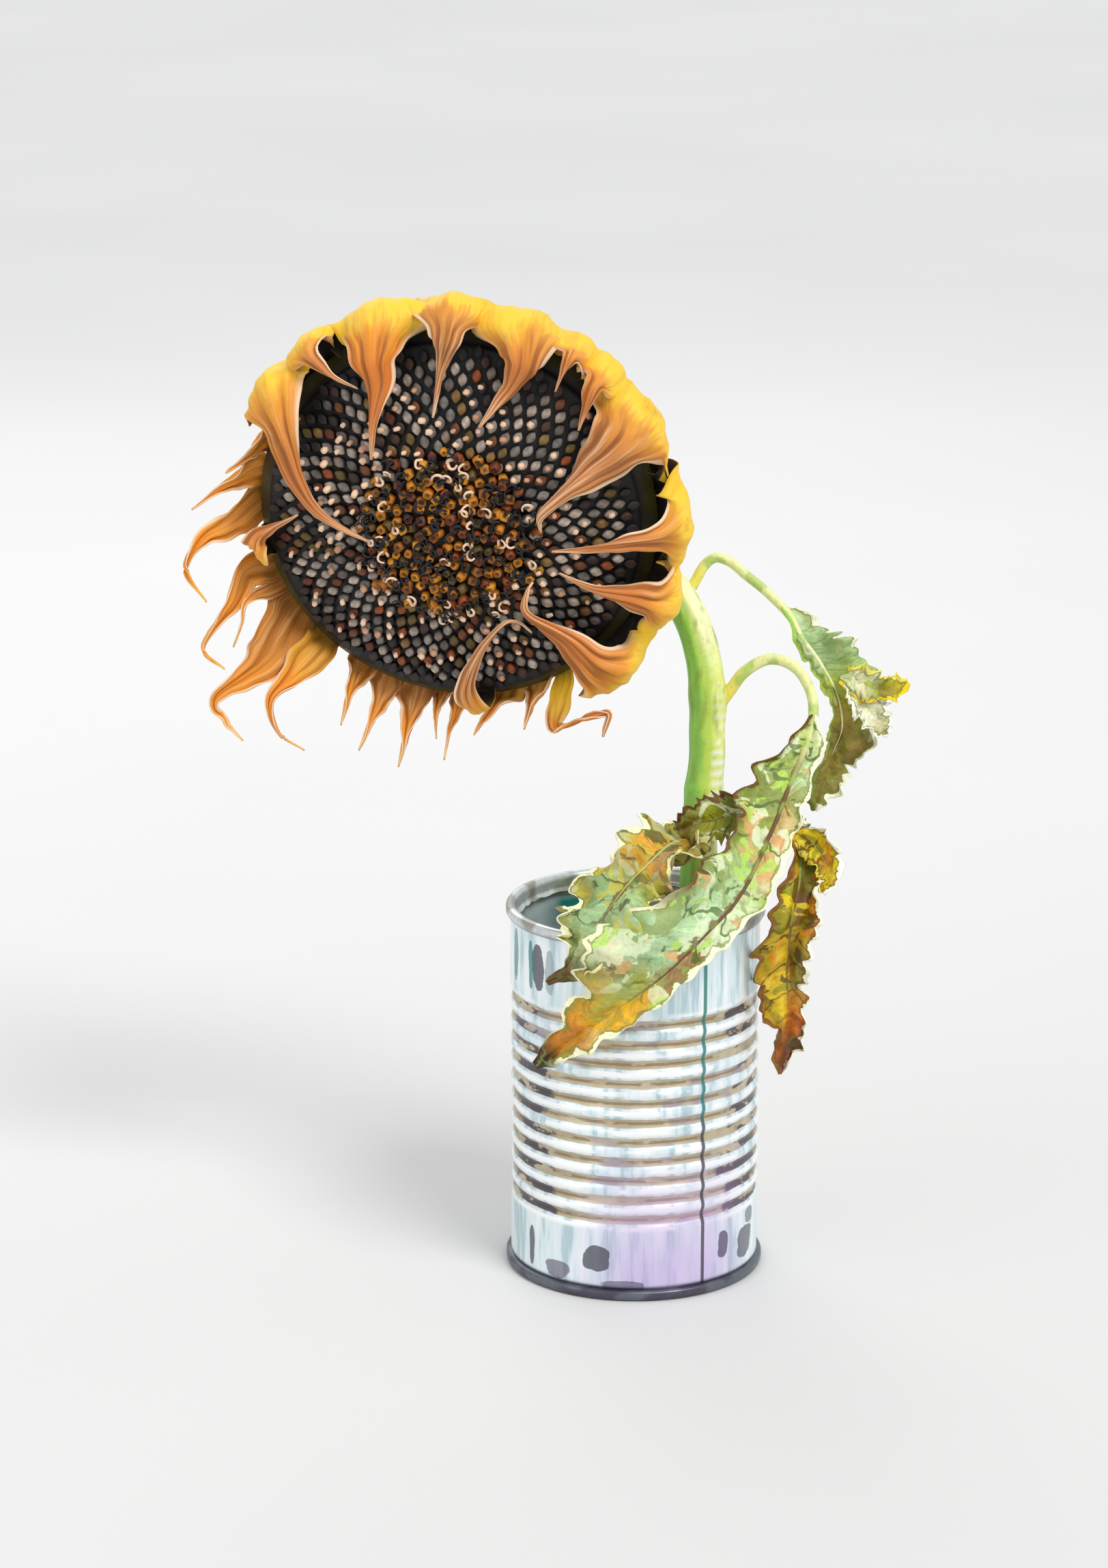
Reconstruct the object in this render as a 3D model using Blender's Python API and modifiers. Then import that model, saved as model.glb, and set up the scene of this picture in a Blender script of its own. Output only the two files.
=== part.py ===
"""A dried sunflower seed head on its cut, hooked stem, standing with four wilted leaves in an opened food tin.

Everything is placed about the tin's own axis first, with the surface it stands on at z = 0. The last step
moves the whole object so that the centre of its footprint box is at the origin.
"""

import math

import bmesh
import bpy
from mathutils import Matrix, Vector

MM = 0.001

# The tin: a standard 400 g food can, 73 mm across and 110 mm tall.
TIN_RADIUS = 36.5 * MM
TIN_HEIGHT = 110 * MM
TIN_SHEET = 0.35 * MM
SEAM_OUTER = 37.9 * MM
SEAM_INNER = 35.0 * MM
SEAM_HEIGHT = 2.9 * MM
SEAM_CORNER = 0.4 * MM
SEAM_WALL_TAPER = 0.2 * MM
WALL_INSIDE_SEAM = 1.2 * MM
CUT_LID_DEPTH = 4.4 * MM
CUT_LID_LIP = Vector((1.2, 0.3)) * MM
PANEL_HEIGHT = 3.6 * MM
PANEL_STEP_RADIUS = 30 * MM
PANEL_STEP = 0.7 * MM
BEAD_COUNT = 11
BEAD_PITCH = 5.9 * MM
BEAD_DEPTH = 0.9 * MM
BEAD_CREST = 0.42  # from a bead's middle to its crest, as a share of the pitch
LOWEST_BEAD = 24.3 * MM
TIN_STEPS = 28
WATER_RADIUS = 34.7 * MM
WATER_HEIGHT = 68 * MM

# The head: face centre, and the angles its face is turned left and bowed down.
HEAD_CENTRE = Vector((-52, -12, 225.5)) * MM
HEAD_TURN = math.radians(9)
HEAD_NOD = math.radians(12)
FACE_RADIUS = 53 * MM
DOME_HEIGHT = 12 * MM
FLORET_RADIUS = 23 * MM
SEED_DEPTH = 2 * MM
SEED_RINGS = 6
CAP_RINGS = 4
RECEPTACLE_DEPTH = 30 * MM
# Shares of the face's radius and of the receptacle's depth, from its edge to the middle of its back.
RECEPTACLE_PROFILE = [(1.02, 0.17), (0.98, 0.33), (0.89, 0.62), (0.64, 0.82), (0.34, 0.93), (0.17, 1), (0, 1)]
CAP_DIP = 1 * MM
HEAD_STEPS = 30
GAP = 0.35 * MM

STEM_RADIUS = 5.4 * MM
STEM_TAPER = (1.05, 0.9)
STEM_ROUTE = [
    (17, 10, 6), (18, 11, 60), (18.5, 12.5, 110), (19.4, 14, 132), (21, 15.5, 150), (21, 18, 171),
    (18.9, 20.5, 181), (15.4, 24, 191), (8, 29, 200), (-6, 35, 208), (-20, 38, 215), (-33, 38, 222),
    (-42, 33.5, 229.5), (-46.1, 25.6, 232.6), (-47.3, 17.6, 231.8),
]

# Each ray petal: its angle round the face, its width, and where it runs after leaving the rim. A folded
# petal arches over the rim first. A way point is (distance from the face's centre, degrees from the petal's
# own angle, height above the seeds).
FOLDED_PETALS = {
    "petal_01": (30, 29, [(58, -2, 12), (47, -4, 9), (36, -7, 7), (28, -13, 6), (27, -24, 4)]),
    "petal_02": (46.5, 11, [(62, 0, 11), (50, -6, 8)]),
    "petal_03": (56, 7, [(64, 0, 10), (54, -2, 9)]),
    "petal_04": (68.5, 23, [(58, -3, 12), (50, -3, 8), (42, 0, 6), (35, 4, 5)]),
    "petal_05": (87, 15, [(58, 1, 11), (51, 3, 8), (43, 5, 6), (36, 7, 5)]),
    "petal_06": (108, 24, [(57, 2, 12), (48, 5, 9), (39, 13, 7), (31, 23, 5)]),
    "petal_07": (127, 10, [(57, -3, 10), (49, -8, 7)]),
    "petal_08": (143, 18, [(56, 4, 11), (47, 14, 9), (40, 23, 7), (33, 29, 6), (22, 38, 5)]),
    "petal_13": (189.5, 8, [(55, -6, 8), (43, -16, 6)]),
    "petal_22": (275, 8, [(48, -1, 9), (36, 8, 7), (30, 24, 6), (31, 33, 5), (37, 33, 4)]),
    "petal_26": (316, 24, [(58, 0, 11), (45, 2, 10), (31, 0, 7), (27, 10, 5), (27, 17, 4)]),
    "petal_27": (340, 17, [(55, 1, 11), (43, 0, 8), (33, 3, 5)]),
    "petal_28": (0, 14, [(54, 0, 11), (41, -2, 8), (30, -5, 5)]),
}
# A loose petal's way points have their height measured from the face's rim.
LOOSE_PETALS = {
    "petal_09": (158, 10, [(61, 5, -2), (66, 10, 3)]),
    "petal_10": (169, 9, [(67, 4, 0), (75, 9, 4)]),
    "petal_11": (178, 8, [(66, 5, 1), (72, 7, 4), (79, 13, 6), (76, 21, 7)]),
    "petal_12": (198, 7, [(64, -2, 1), (70, 4, 4), (84, 10, 6), (82, 16, 7)]),
    "petal_14": (205, 4, [(66, -2, 3), (70, 2, 5), (76, 6, 6)]),
    "petal_15": (214, 13, [(65, 2, 0), (74, 4, 3), (91, 4, 5), (94, 9, 6), (94, 13, 7)]),
    "petal_16": (226, 9, [(60, -1, 0), (68, -1, 4), (78, -1, 7), (84, 5, 8), (84, 11, 8)]),
    "petal_17": (238, 8, [(63, 1, 1), (73, 3, 4)]),
    "petal_18": (247, 8, [(68, 0, 1), (78, 0, 4)]),
    "petal_19": (256, 8, [(68, 0, 1), (79, 0, 4)]),
    "petal_20": (262.5, 5, [(62, 0, 0), (68, 1, 3)]),
    "petal_21": (269, 5, [(64, -2, 2), (73, -3, 6)]),
    "petal_23": (281, 9, [(60, -3, -1), (66, -8, 3)]),
    "petal_24": (291, 9, [(61, -2, -1), (66, -5, 3)]),
    "petal_25": (300, 7, [(62, -3, 0), (68, -6, 4), (68, 3, 7), (70, 9, 8), (75, 4, 8)]),
}
# A petal's first points: distance from the face's centre, and height above its rim.
FOLDED_START = [(52.6, -12), (61, -11), (67.5, -3), (66.5, 6)]
LOOSE_START = [(52.6, -12), (58, -8)]
PETAL_THICKNESS = 0.7 * MM
PETAL_CUP = 0.16
PETAL_TIP = 0.12  # the tip's breadth as a share of the petal's
BRACT_COUNT = 14
BRACT_WIDTH = 14 * MM
BRACT_THICKNESS = 0.9 * MM
# A bract's way points: distance from the face's centre, and height above its rim.
BRACT_WAY = [(38, -27.2), (47, -23.4), (56.5, -17), (62, -15), (67, -17)]

# Each leaf: its stalk's and midrib's route, the share of the route that is stalk, the way its upper side
# faces, its half widths to either side of the midrib, how far the halves fold forward, and its ruffles.
LEAVES = {
    "leaf_top": {
        "route": [
            (20.5, 28.5, 200.5), (20, 29, 204.3), (23.5, 29, 206.2), (28, 29, 204.8), (32.5, 29, 201),
            (38, 29, 196.5), (45, 28, 189.5), (49, 26, 182.5), (54, 25, 176), (59, 24, 167), (61, 23, 157),
            (58, 22, 148), (53, 21, 132),
        ],
        "stalk": 0.36, "faces": (0.3, -0.95, 0.1), "left": 17, "right": 5, "fold": 0.35, "ruffle": 1.6,
    },
    "leaf_front": {
        "route": [
            (28, 17, 169), (32, 16, 175), (39, 15, 179), (46, 12, 177.5), (50.4, 9, 171.7), (51.5, 6, 165),
            (49.5, 2, 157), (43.5, -9, 146), (39, -17, 137), (30, -33, 123), (21, -43, 115), (7, -48.5, 102),
            (-12, -47, 87), (-29, -42, 73),
        ],
        "stalk": 0.22, "faces": (0.1, -1, 0.25), "left": 6, "right": 17, "fold": 0.3, "ruffle": 1.4,
    },
    "leaf_rim": {
        "route": [
            (15.5, 4, 126), (12, -2, 133), (6, -10, 136), (1, -20, 133), (-4, -31, 127), (-9, -41, 118),
            (-15, -43.5, 108), (-25, -42, 98),
        ],
        "stalk": 0.12, "faces": (-0.35, -0.7, 0.6), "left": 11, "right": 11, "fold": 0.35, "ruffle": 1.6,
    },
    "leaf_side": {
        "route": [
            (26.5, 17, 129), (33, 17.5, 131.5), (42, 12, 130.5), (47.5, 5, 126), (47.5, -3, 117),
            (45, -9, 106), (44, -10, 92), (44.5, -9, 76), (42, -8, 60),
        ],
        "stalk": 0.2, "faces": (0.35, -0.9, 0.1), "left": 9, "right": 9, "fold": 0.4, "ruffle": 1.6,
    },
}
STALK_HALF = 1.7 * MM
BLADE_THICKNESS = 0.3  # as a share of the stalk's
RUFFLES = 15  # radians of ruffle along a blade


def clear_scene():
    for obj in list(bpy.data.objects):
        bpy.data.objects.remove(obj, do_unlink=True)


def material(name, colour, roughness, metallic=0.0):
    made = bpy.data.materials.new(name)
    made.use_nodes = True
    shader = made.node_tree.nodes["Principled BSDF"]
    shader.inputs["Base Color"].default_value = (*colour, 1)
    shader.inputs["Roughness"].default_value = roughness
    shader.inputs["Metallic"].default_value = metallic
    return made


def add(name, data, made_of, collection):
    obj = bpy.data.objects.new(name, data)
    obj.data.materials.append(made_of)
    collection.objects.link(obj)
    return obj


def smooth_path(points, per_span):
    """Points of a Catmull-Rom curve through the given ones."""
    ends = [points[0] * 2 - points[1], *points, points[-1] * 2 - points[-2]]
    path = []
    for a, b, c, d in zip(ends, ends[1:], ends[2:], ends[3:]):
        for step in range(per_span):
            t = step / per_span
            square, cube = 2 * a - 5 * b + 4 * c - d, 3 * b - a - 3 * c + d
            path.append(0.5 * (2 * b + (c - a) * t + square * t**2 + cube * t**3))
    return [*path, points[-1]]


def point_along(path, share):
    """The point and direction at a share, from 0 to 1, of a path's length."""
    lengths = [(q - p).length for p, q in zip(path, path[1:])]
    left = share * sum(lengths)
    for i, length in enumerate(lengths):
        if left <= length or i == len(lengths) - 1:
            return path[i].lerp(path[i + 1], left / length), (path[i + 1] - path[i]).normalized()
        left -= length


def turned(name, profile, steps, made_of, collection, sheet_thickness=0.0):
    """A profile of (radius, height) points turned round the Z axis. It runs clockwise, so its faces point out."""
    mesh = bpy.data.meshes.new(name)
    mesh.from_pydata([(r, 0, z) for r, z in profile], [(i, i + 1) for i in range(len(profile) - 1)], [])
    obj = add(name, mesh, made_of, collection)
    screw = obj.modifiers.new("turn", "SCREW")
    screw.steps = screw.render_steps = steps
    screw.use_smooth_shade = False
    screw.use_merge_vertices = True
    screw.merge_threshold = 0.05 * MM
    if sheet_thickness:
        shell = obj.modifiers.new("sheet", "SOLIDIFY")
        shell.thickness = sheet_thickness
        shell.offset = -1
    return obj


def sheet(name, columns, rows, place, thickness, made_of, collection, thicker=None):
    """An open grid put in place by place(across, along), with across from -1 to 1 and along from 0 to 1."""
    grid = bmesh.new()
    bmesh.ops.create_grid(grid, x_segments=columns, y_segments=rows, size=1)
    along = {}
    for vertex in grid.verts:
        across, share = vertex.co.x, (vertex.co.y + 1) / 2
        along[vertex.index] = share
        vertex.co = place(across, share)
    mesh = bpy.data.meshes.new(name)
    grid.to_mesh(mesh)
    grid.free()
    obj = add(name, mesh, made_of, collection)
    shell = obj.modifiers.new("thickness", "SOLIDIFY")
    shell.thickness = thickness
    shell.offset = 0
    if thicker:
        group = obj.vertex_groups.new(name="thickness")
        for index, share in along.items():
            group.add([index], thicker(share), "REPLACE")
        shell.vertex_group = "thickness"
    return obj


def make_tin(steel, collection):
    """The beaded wall, the rolled rim with what the opener left of the lid, and the seamed base."""
    top, corner = TIN_HEIGHT, SEAM_CORNER
    cut_lid_radius, cut_lid_top = SEAM_INNER - SEAM_WALL_TAPER, top - CUT_LID_DEPTH
    top_rim = [
        (SEAM_OUTER, top - SEAM_HEIGHT),
        (SEAM_OUTER, top - corner),
        (SEAM_OUTER - corner, top),
        (SEAM_INNER + corner, top),
        (SEAM_INNER, top - corner),
        (cut_lid_radius, cut_lid_top),
        (cut_lid_radius - CUT_LID_LIP.x, cut_lid_top - CUT_LID_LIP.y),
    ]
    turned("tin_top_rim", top_rim, TIN_STEPS, steel, collection, TIN_SHEET)

    wall = [(TIN_RADIUS, top - WALL_INSIDE_SEAM)]
    for i in reversed(range(BEAD_COUNT)):
        middle = LOWEST_BEAD + i * BEAD_PITCH
        wall += [(TIN_RADIUS, middle + BEAD_PITCH * BEAD_CREST), (TIN_RADIUS - BEAD_DEPTH, middle)]
    wall += [(TIN_RADIUS, LOWEST_BEAD - BEAD_PITCH * BEAD_CREST), (TIN_RADIUS, WALL_INSIDE_SEAM)]
    turned("tin_wall", wall, TIN_STEPS, steel, collection, TIN_SHEET)

    base = [
        (SEAM_OUTER, SEAM_HEIGHT),
        (SEAM_OUTER, corner),
        (SEAM_OUTER - corner, 0),
        (SEAM_INNER + corner, 0),
        (SEAM_INNER, corner),
        (SEAM_INNER - SEAM_WALL_TAPER, PANEL_HEIGHT),
        (PANEL_STEP_RADIUS, PANEL_HEIGHT),
        (PANEL_STEP_RADIUS - PANEL_STEP, PANEL_HEIGHT + PANEL_STEP),
        (0, PANEL_HEIGHT + PANEL_STEP),
    ]
    turned("tin_base", base, TIN_STEPS, steel, collection, TIN_SHEET)


def make_water(water, collection):
    """The water in the tin, with a hole where the stem stands in it."""
    low, high = PANEL_HEIGHT + PANEL_STEP + GAP, WATER_HEIGHT
    profile = [(0, high), (WATER_RADIUS, high), (WATER_RADIUS, low), (0, low), (0, high)]
    filled = turned("water", profile, TIN_STEPS, water, collection)
    room = make_stem("stem_room", GAP, water, collection)
    graph = bpy.context.evaluated_depsgraph_get()
    cutter = bpy.data.objects.new("stem_cutter", bpy.data.meshes.new_from_object(room.evaluated_get(graph)))
    bpy.data.objects.remove(room, do_unlink=True)
    cutter.hide_render = True
    collection.objects.link(cutter)
    cut = filled.modifiers.new("stem", "BOOLEAN")
    cut.operation = "DIFFERENCE"
    cut.solver = "EXACT"
    cut.object = cutter


def head_matrix():
    """Head axes: X to the face's right as seen from in front, Y up the face, Z out of the face."""
    facing = Vector(
        (
            -math.sin(HEAD_TURN) * math.cos(HEAD_NOD),
            -math.cos(HEAD_TURN) * math.cos(HEAD_NOD),
            -math.sin(HEAD_NOD),
        )
    )
    right = Vector((0, 0, 1)).cross(facing).normalized()
    up = facing.cross(right)
    frame = Matrix((right, up, facing)).transposed().to_4x4()
    return Matrix.Translation(HEAD_CENTRE) @ frame


def dome(radius):
    """Height of the seed face above its rim."""
    return DOME_HEIGHT * max(0.0, 1 - (radius / FACE_RADIUS) ** 2)


def polar(radius, degrees, height):
    angle = math.radians(degrees)
    return Vector((radius * math.cos(angle), radius * math.sin(angle), height))


def make_face(frame, materials, collection):
    """The seed face with its ring of seeds and cap of dried florets, and the fleshy receptacle behind."""
    seeds = [(FLORET_RADIUS, -SEED_DEPTH)]
    for i in range(SEED_RINGS + 1):
        radius = FLORET_RADIUS + (FACE_RADIUS - FLORET_RADIUS) * i / SEED_RINGS
        seeds.append((radius, dome(radius)))
    seeds += [(FACE_RADIUS, -SEED_DEPTH), (FLORET_RADIUS, -SEED_DEPTH)]
    cap_radius = FLORET_RADIUS - GAP
    cap = [(0, -SEED_DEPTH)]
    for i in range(CAP_RINGS + 1):
        share = i / CAP_RINGS
        cap.append((cap_radius * share, dome(cap_radius * share) - CAP_DIP * (1 - share)))
    cap += [(cap_radius, -SEED_DEPTH), (0, -SEED_DEPTH)]
    front = -SEED_DEPTH - GAP
    receptacle = [(FACE_RADIUS * r, -RECEPTACLE_DEPTH * depth) for r, depth in RECEPTACLE_PROFILE]
    receptacle = [(FACE_RADIUS - GAP, front), *receptacle, (0, front), (FACE_RADIUS - GAP, front)]
    for name, profile, slot in (
        ("seed_ring", seeds, "seeds"),
        ("floret_cap", cap, "florets"),
        ("receptacle", receptacle, "receptacle"),
    ):
        obj = turned(name, profile, HEAD_STEPS, materials[slot], collection)
        obj.matrix_world = frame


def petal_route(angle, way, folded):
    """The petal's centre line in the head's own axes."""
    start = FOLDED_START if folded else LOOSE_START
    points = [polar(r * MM, angle, height * MM) for r, height in start]
    for r, turn, height in way:
        lifted = height * MM + (dome(r * MM) if folded else 0)
        points.append(polar(r * MM, angle + turn, lifted))
    return smooth_path(points, 6)


def petal_breadth(share, folded):
    """A petal's breadth along its length, as a share of its full width."""
    widest = 0.34 if folded else 0.3
    if share < widest:
        return 0.5 + 0.5 * math.sin(share / widest * math.pi / 2)
    left = (1 - share) / (1 - widest)
    return PETAL_TIP + (1 - PETAL_TIP) * left**1.7


def make_petal(name, angle, width, way, folded, frame, made_of, collection):
    route = petal_route(angle, way, folded)
    across_rim = polar(1, angle + 90, 0)

    def place(across, share):
        centre, ahead = point_along(route, share)
        side = (across_rim - ahead * across_rim.dot(ahead)).normalized()
        outward = side.cross(ahead)
        half = width * MM * petal_breadth(share, folded) / 2
        cup = PETAL_CUP * half * across**2
        return frame @ (centre + side * (across * half) - outward * cup)

    return sheet(name, 2, 2 * len(way) + 4, place, PETAL_THICKNESS, made_of, collection)


def make_bract(index, frame, made_of, collection):
    """A short pointed bract lying on the receptacle's back."""
    angle = 360 / BRACT_COUNT * (index + 0.5)
    route = smooth_path([polar(r * MM, angle, height * MM) for r, height in BRACT_WAY], 5)
    across_rim = polar(1, angle + 90, 0)

    def place(across, share):
        centre, ahead = point_along(route, share)
        breadth = min(0.75 + 0.6 * share, max(0.08, 1.65 * (1 - share)))
        half = BRACT_WIDTH / 2 * breadth
        outward = ahead.cross(across_rim)
        return frame @ (centre + across_rim * (across * half) - outward * 0.1 * half * across**2)

    return sheet(f"bract_{index + 1:02d}", 2, 5, place, BRACT_THICKNESS, made_of, collection)


def make_stem(name, extra, made_of, collection):
    """The stem as a tube, made wider by the given extra when it cuts its own hole in the water."""
    path = smooth_path([Vector(p) * MM for p in STEM_ROUTE], 3)
    curve = bpy.data.curves.new(name, "CURVE")
    curve.dimensions = "3D"
    curve.bevel_depth = STEM_RADIUS + extra
    curve.bevel_resolution = 2
    curve.use_fill_caps = True
    spline = curve.splines.new("POLY")
    spline.points.add(len(path) - 1)
    for i, (point, centre) in enumerate(zip(spline.points, path)):
        point.co = (*centre, 1)
        point.radius = STEM_TAPER[0] + (STEM_TAPER[1] - STEM_TAPER[0]) * i / len(path)
    return add(name, curve, made_of, collection)


def make_leaf(name, leaf, made_of, collection):
    """A stalk that widens into a folded, ruffled blade."""
    route = smooth_path([Vector(p) * MM for p in leaf["route"]], 6)
    faces = Vector(leaf["faces"]).normalized()
    stalk = leaf["stalk"]

    def blade(share):
        """From 0 at the blade's base to 1 at its tip, and below 0 on the stalk."""
        return (share - stalk) / (1 - stalk)

    def place(across, share):
        centre, ahead = point_along(route, share)
        side = ahead.cross(faces).normalized()
        up = side.cross(ahead)
        at = blade(share)
        half = STALK_HALF
        lift = 0.0
        if at > 0:
            full = leaf["right" if across > 0 else "left"] * MM
            breadth = math.sin(math.pi * min(1, at**0.6)) ** 0.8 * (1 - 0.25 * at)
            half += (full - STALK_HALF) * breadth
            ruffle = leaf["ruffle"] * MM * math.sin(RUFFLES * at + 2 * across) * min(1, 4 * at)
            lift = (leaf["fold"] * half + ruffle) * across**2
        return centre + side * (across * half) + up * lift

    def thicker(share):
        return max(BLADE_THICKNESS, min(1, 1 - 6 * blade(share)))

    return sheet(name, 4, 2 * len(leaf["route"]), place, 2 * STALK_HALF, made_of, collection, thicker)


def centre_on_origin(collection):
    """Moves every object so that the footprint box's centre is at the origin."""
    bpy.context.view_layer.update()
    graph = bpy.context.evaluated_depsgraph_get()
    corners = []
    for obj in (o for o in collection.objects if not o.hide_render):
        shown = obj.evaluated_get(graph)
        mesh = shown.to_mesh()
        corners += [shown.matrix_world @ v.co for v in mesh.vertices]
        shown.to_mesh_clear()
    for axis in (0, 1):
        low = min(c[axis] for c in corners)
        high = max(c[axis] for c in corners)
        for obj in collection.objects:
            obj.location[axis] -= (low + high) / 2


def main():
    clear_scene()
    collection = bpy.data.collections.new("sunflower_seed_head")
    bpy.context.scene.collection.children.link(collection)
    materials = {
        "steel": material("tinned_steel", (0.78, 0.82, 0.84), 0.25, 1.0),
        "water": material("water", (0.25, 0.33, 0.33), 0.08),
        "stem": material("green_stem", (0.62, 0.72, 0.22), 0.55),
        "leaf": material("wilted_leaf", (0.55, 0.62, 0.33), 0.7),
        "dry_leaf": material("dry_leaf", (0.55, 0.36, 0.08), 0.75),
        "seeds": material("seeds", (0.1, 0.09, 0.08), 0.6),
        "florets": material("dried_florets", (0.45, 0.24, 0.05), 0.8),
        "receptacle": material("receptacle", (0.45, 0.5, 0.18), 0.7),
        "petal": material("dried_petal", (0.85, 0.5, 0.08), 0.6),
        "bract": material("dried_bract", (0.42, 0.42, 0.14), 0.7),
    }
    make_tin(materials["steel"], collection)
    make_water(materials["water"], collection)
    frame = head_matrix()
    make_face(frame, materials, collection)
    for petals, folded in ((FOLDED_PETALS, True), (LOOSE_PETALS, False)):
        for name, (angle, width, way) in petals.items():
            make_petal(name, angle, width, way, folded, frame, materials["petal"], collection)
    for index in range(BRACT_COUNT):
        make_bract(index, frame, materials["bract"], collection)
    make_stem("stem", 0, materials["stem"], collection)
    for name, leaf in LEAVES.items():
        make_leaf(name, leaf, materials["dry_leaf" if name == "leaf_side" else "leaf"], collection)
    centre_on_origin(collection)


main()
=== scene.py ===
import math

import bpy
import numpy as np
from mathutils import Matrix, Vector, noise


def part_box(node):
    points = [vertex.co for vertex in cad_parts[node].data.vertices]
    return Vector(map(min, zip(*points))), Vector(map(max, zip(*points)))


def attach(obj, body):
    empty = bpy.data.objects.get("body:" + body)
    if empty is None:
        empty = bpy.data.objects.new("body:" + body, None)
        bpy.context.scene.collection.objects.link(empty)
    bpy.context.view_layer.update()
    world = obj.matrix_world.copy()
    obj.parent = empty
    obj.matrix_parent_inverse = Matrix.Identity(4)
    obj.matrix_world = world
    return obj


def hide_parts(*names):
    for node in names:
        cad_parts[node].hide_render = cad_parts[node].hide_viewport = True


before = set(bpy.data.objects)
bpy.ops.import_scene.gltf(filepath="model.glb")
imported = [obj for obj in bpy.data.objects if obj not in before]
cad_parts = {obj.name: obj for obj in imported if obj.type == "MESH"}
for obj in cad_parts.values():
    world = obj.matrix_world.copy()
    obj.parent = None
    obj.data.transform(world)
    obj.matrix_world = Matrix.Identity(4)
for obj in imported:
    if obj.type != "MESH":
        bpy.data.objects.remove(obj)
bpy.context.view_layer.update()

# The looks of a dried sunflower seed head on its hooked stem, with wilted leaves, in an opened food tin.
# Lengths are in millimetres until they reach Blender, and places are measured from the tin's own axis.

MM = 0.001
TIN_LOW, TIN_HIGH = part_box("tin_wall")
AXIS = Vector(((TIN_LOW[0] + TIN_HIGH[0]) / 2, (TIN_LOW[1] + TIN_HIGH[1]) / 2, 0))

# The head: its face's centre, and the angles that the face is turned left and bowed down.
HEAD_CENTRE = Vector((-52, -12, 225.5))
HEAD_TURN = math.radians(9)
HEAD_NOD = math.radians(12)
FACE_RADIUS = 53.0
DOME_HEIGHT = 12.0
FLORET_RADIUS = 23.0
GOLDEN_ANGLE = math.pi * (3 - math.sqrt(5))
SEED_SPACING = 2.06
FLORET_SPACING = 1.8
STYLE_COUNT = 210
BRACT_COUNT = 14

STEM_RADIUS = 5.35
STEM_ROWS = 190
STEM_ROUTE = [
    (17, 10, 6), (18, 11, 60), (18.5, 12.5, 110), (19.4, 14, 132), (21, 15.5, 150), (21, 18, 171),
    (18.9, 20.5, 181), (15.4, 24, 191), (8, 29, 200), (-6, 35, 208), (-20, 38, 215), (-33, 38, 222),
    (-42, 33.5, 229.5), (-46.1, 25.6, 232.6), (-47.6, 15, 231.4),
]

# Each ray petal: its angle round the face (degrees), its width, its tone (0 young to 1 old), and where it
# runs after leaving the rim. A folded petal arches over the rim first. A way point is (distance from the
# face's centre, degrees from the petal's own angle, height above the seeds).
FOLDED_PETALS = {
    "petal_01": (31, 34, 0.85, [(58, -2, 12), (47, -4, 9), (36, -7, 7), (28, -13, 6), (27, -24, 4)]),
    "petal_02": (46.5, 12, 0.25, [(62, 0, 11), (50, -6, 8)]),
    "petal_03": (56, 9, 0.5, [(64, 0, 10), (54, -2, 9)]),
    "petal_04": (68.5, 27, 0.45, [(58, -3, 12), (50, -3, 8), (42, 0, 6), (35, 4, 5)]),
    "petal_05": (87, 17, 0.95, [(58, 1, 11), (51, 3, 8), (43, 5, 6), (36, 7, 5)]),
    "petal_06": (108, 27, 0.1, [(57, 2, 12), (48, 5, 9), (39, 13, 7), (31, 23, 5)]),
    "petal_07": (127, 11, 0.6, [(57, -3, 10), (49, -8, 7)]),
    "petal_08": (143, 20, 0.4, [(56, 4, 11), (47, 14, 9), (40, 23, 7), (33, 29, 6), (22, 38, 5)]),
    "petal_13": (189.5, 10, 0.5, [(55, -6, 8), (43, -16, 6)]),
    "petal_22": (275, 9, 0.95, [(48, -1, 9), (36, 8, 7), (30, 24, 6), (31, 33, 5), (37, 33, 4)]),
    "petal_26": (316, 27, 0.3, [(58, 0, 11), (45, 2, 10), (31, 0, 7), (27, 10, 5), (27, 17, 4)]),
    "petal_27": (340, 19, 0.35, [(55, 1, 11), (43, 0, 8), (33, 3, 5)]),
    "petal_28": (0, 15, 0.55, [(54, 0, 11), (41, -2, 8), (30, -5, 5)]),
}
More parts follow.
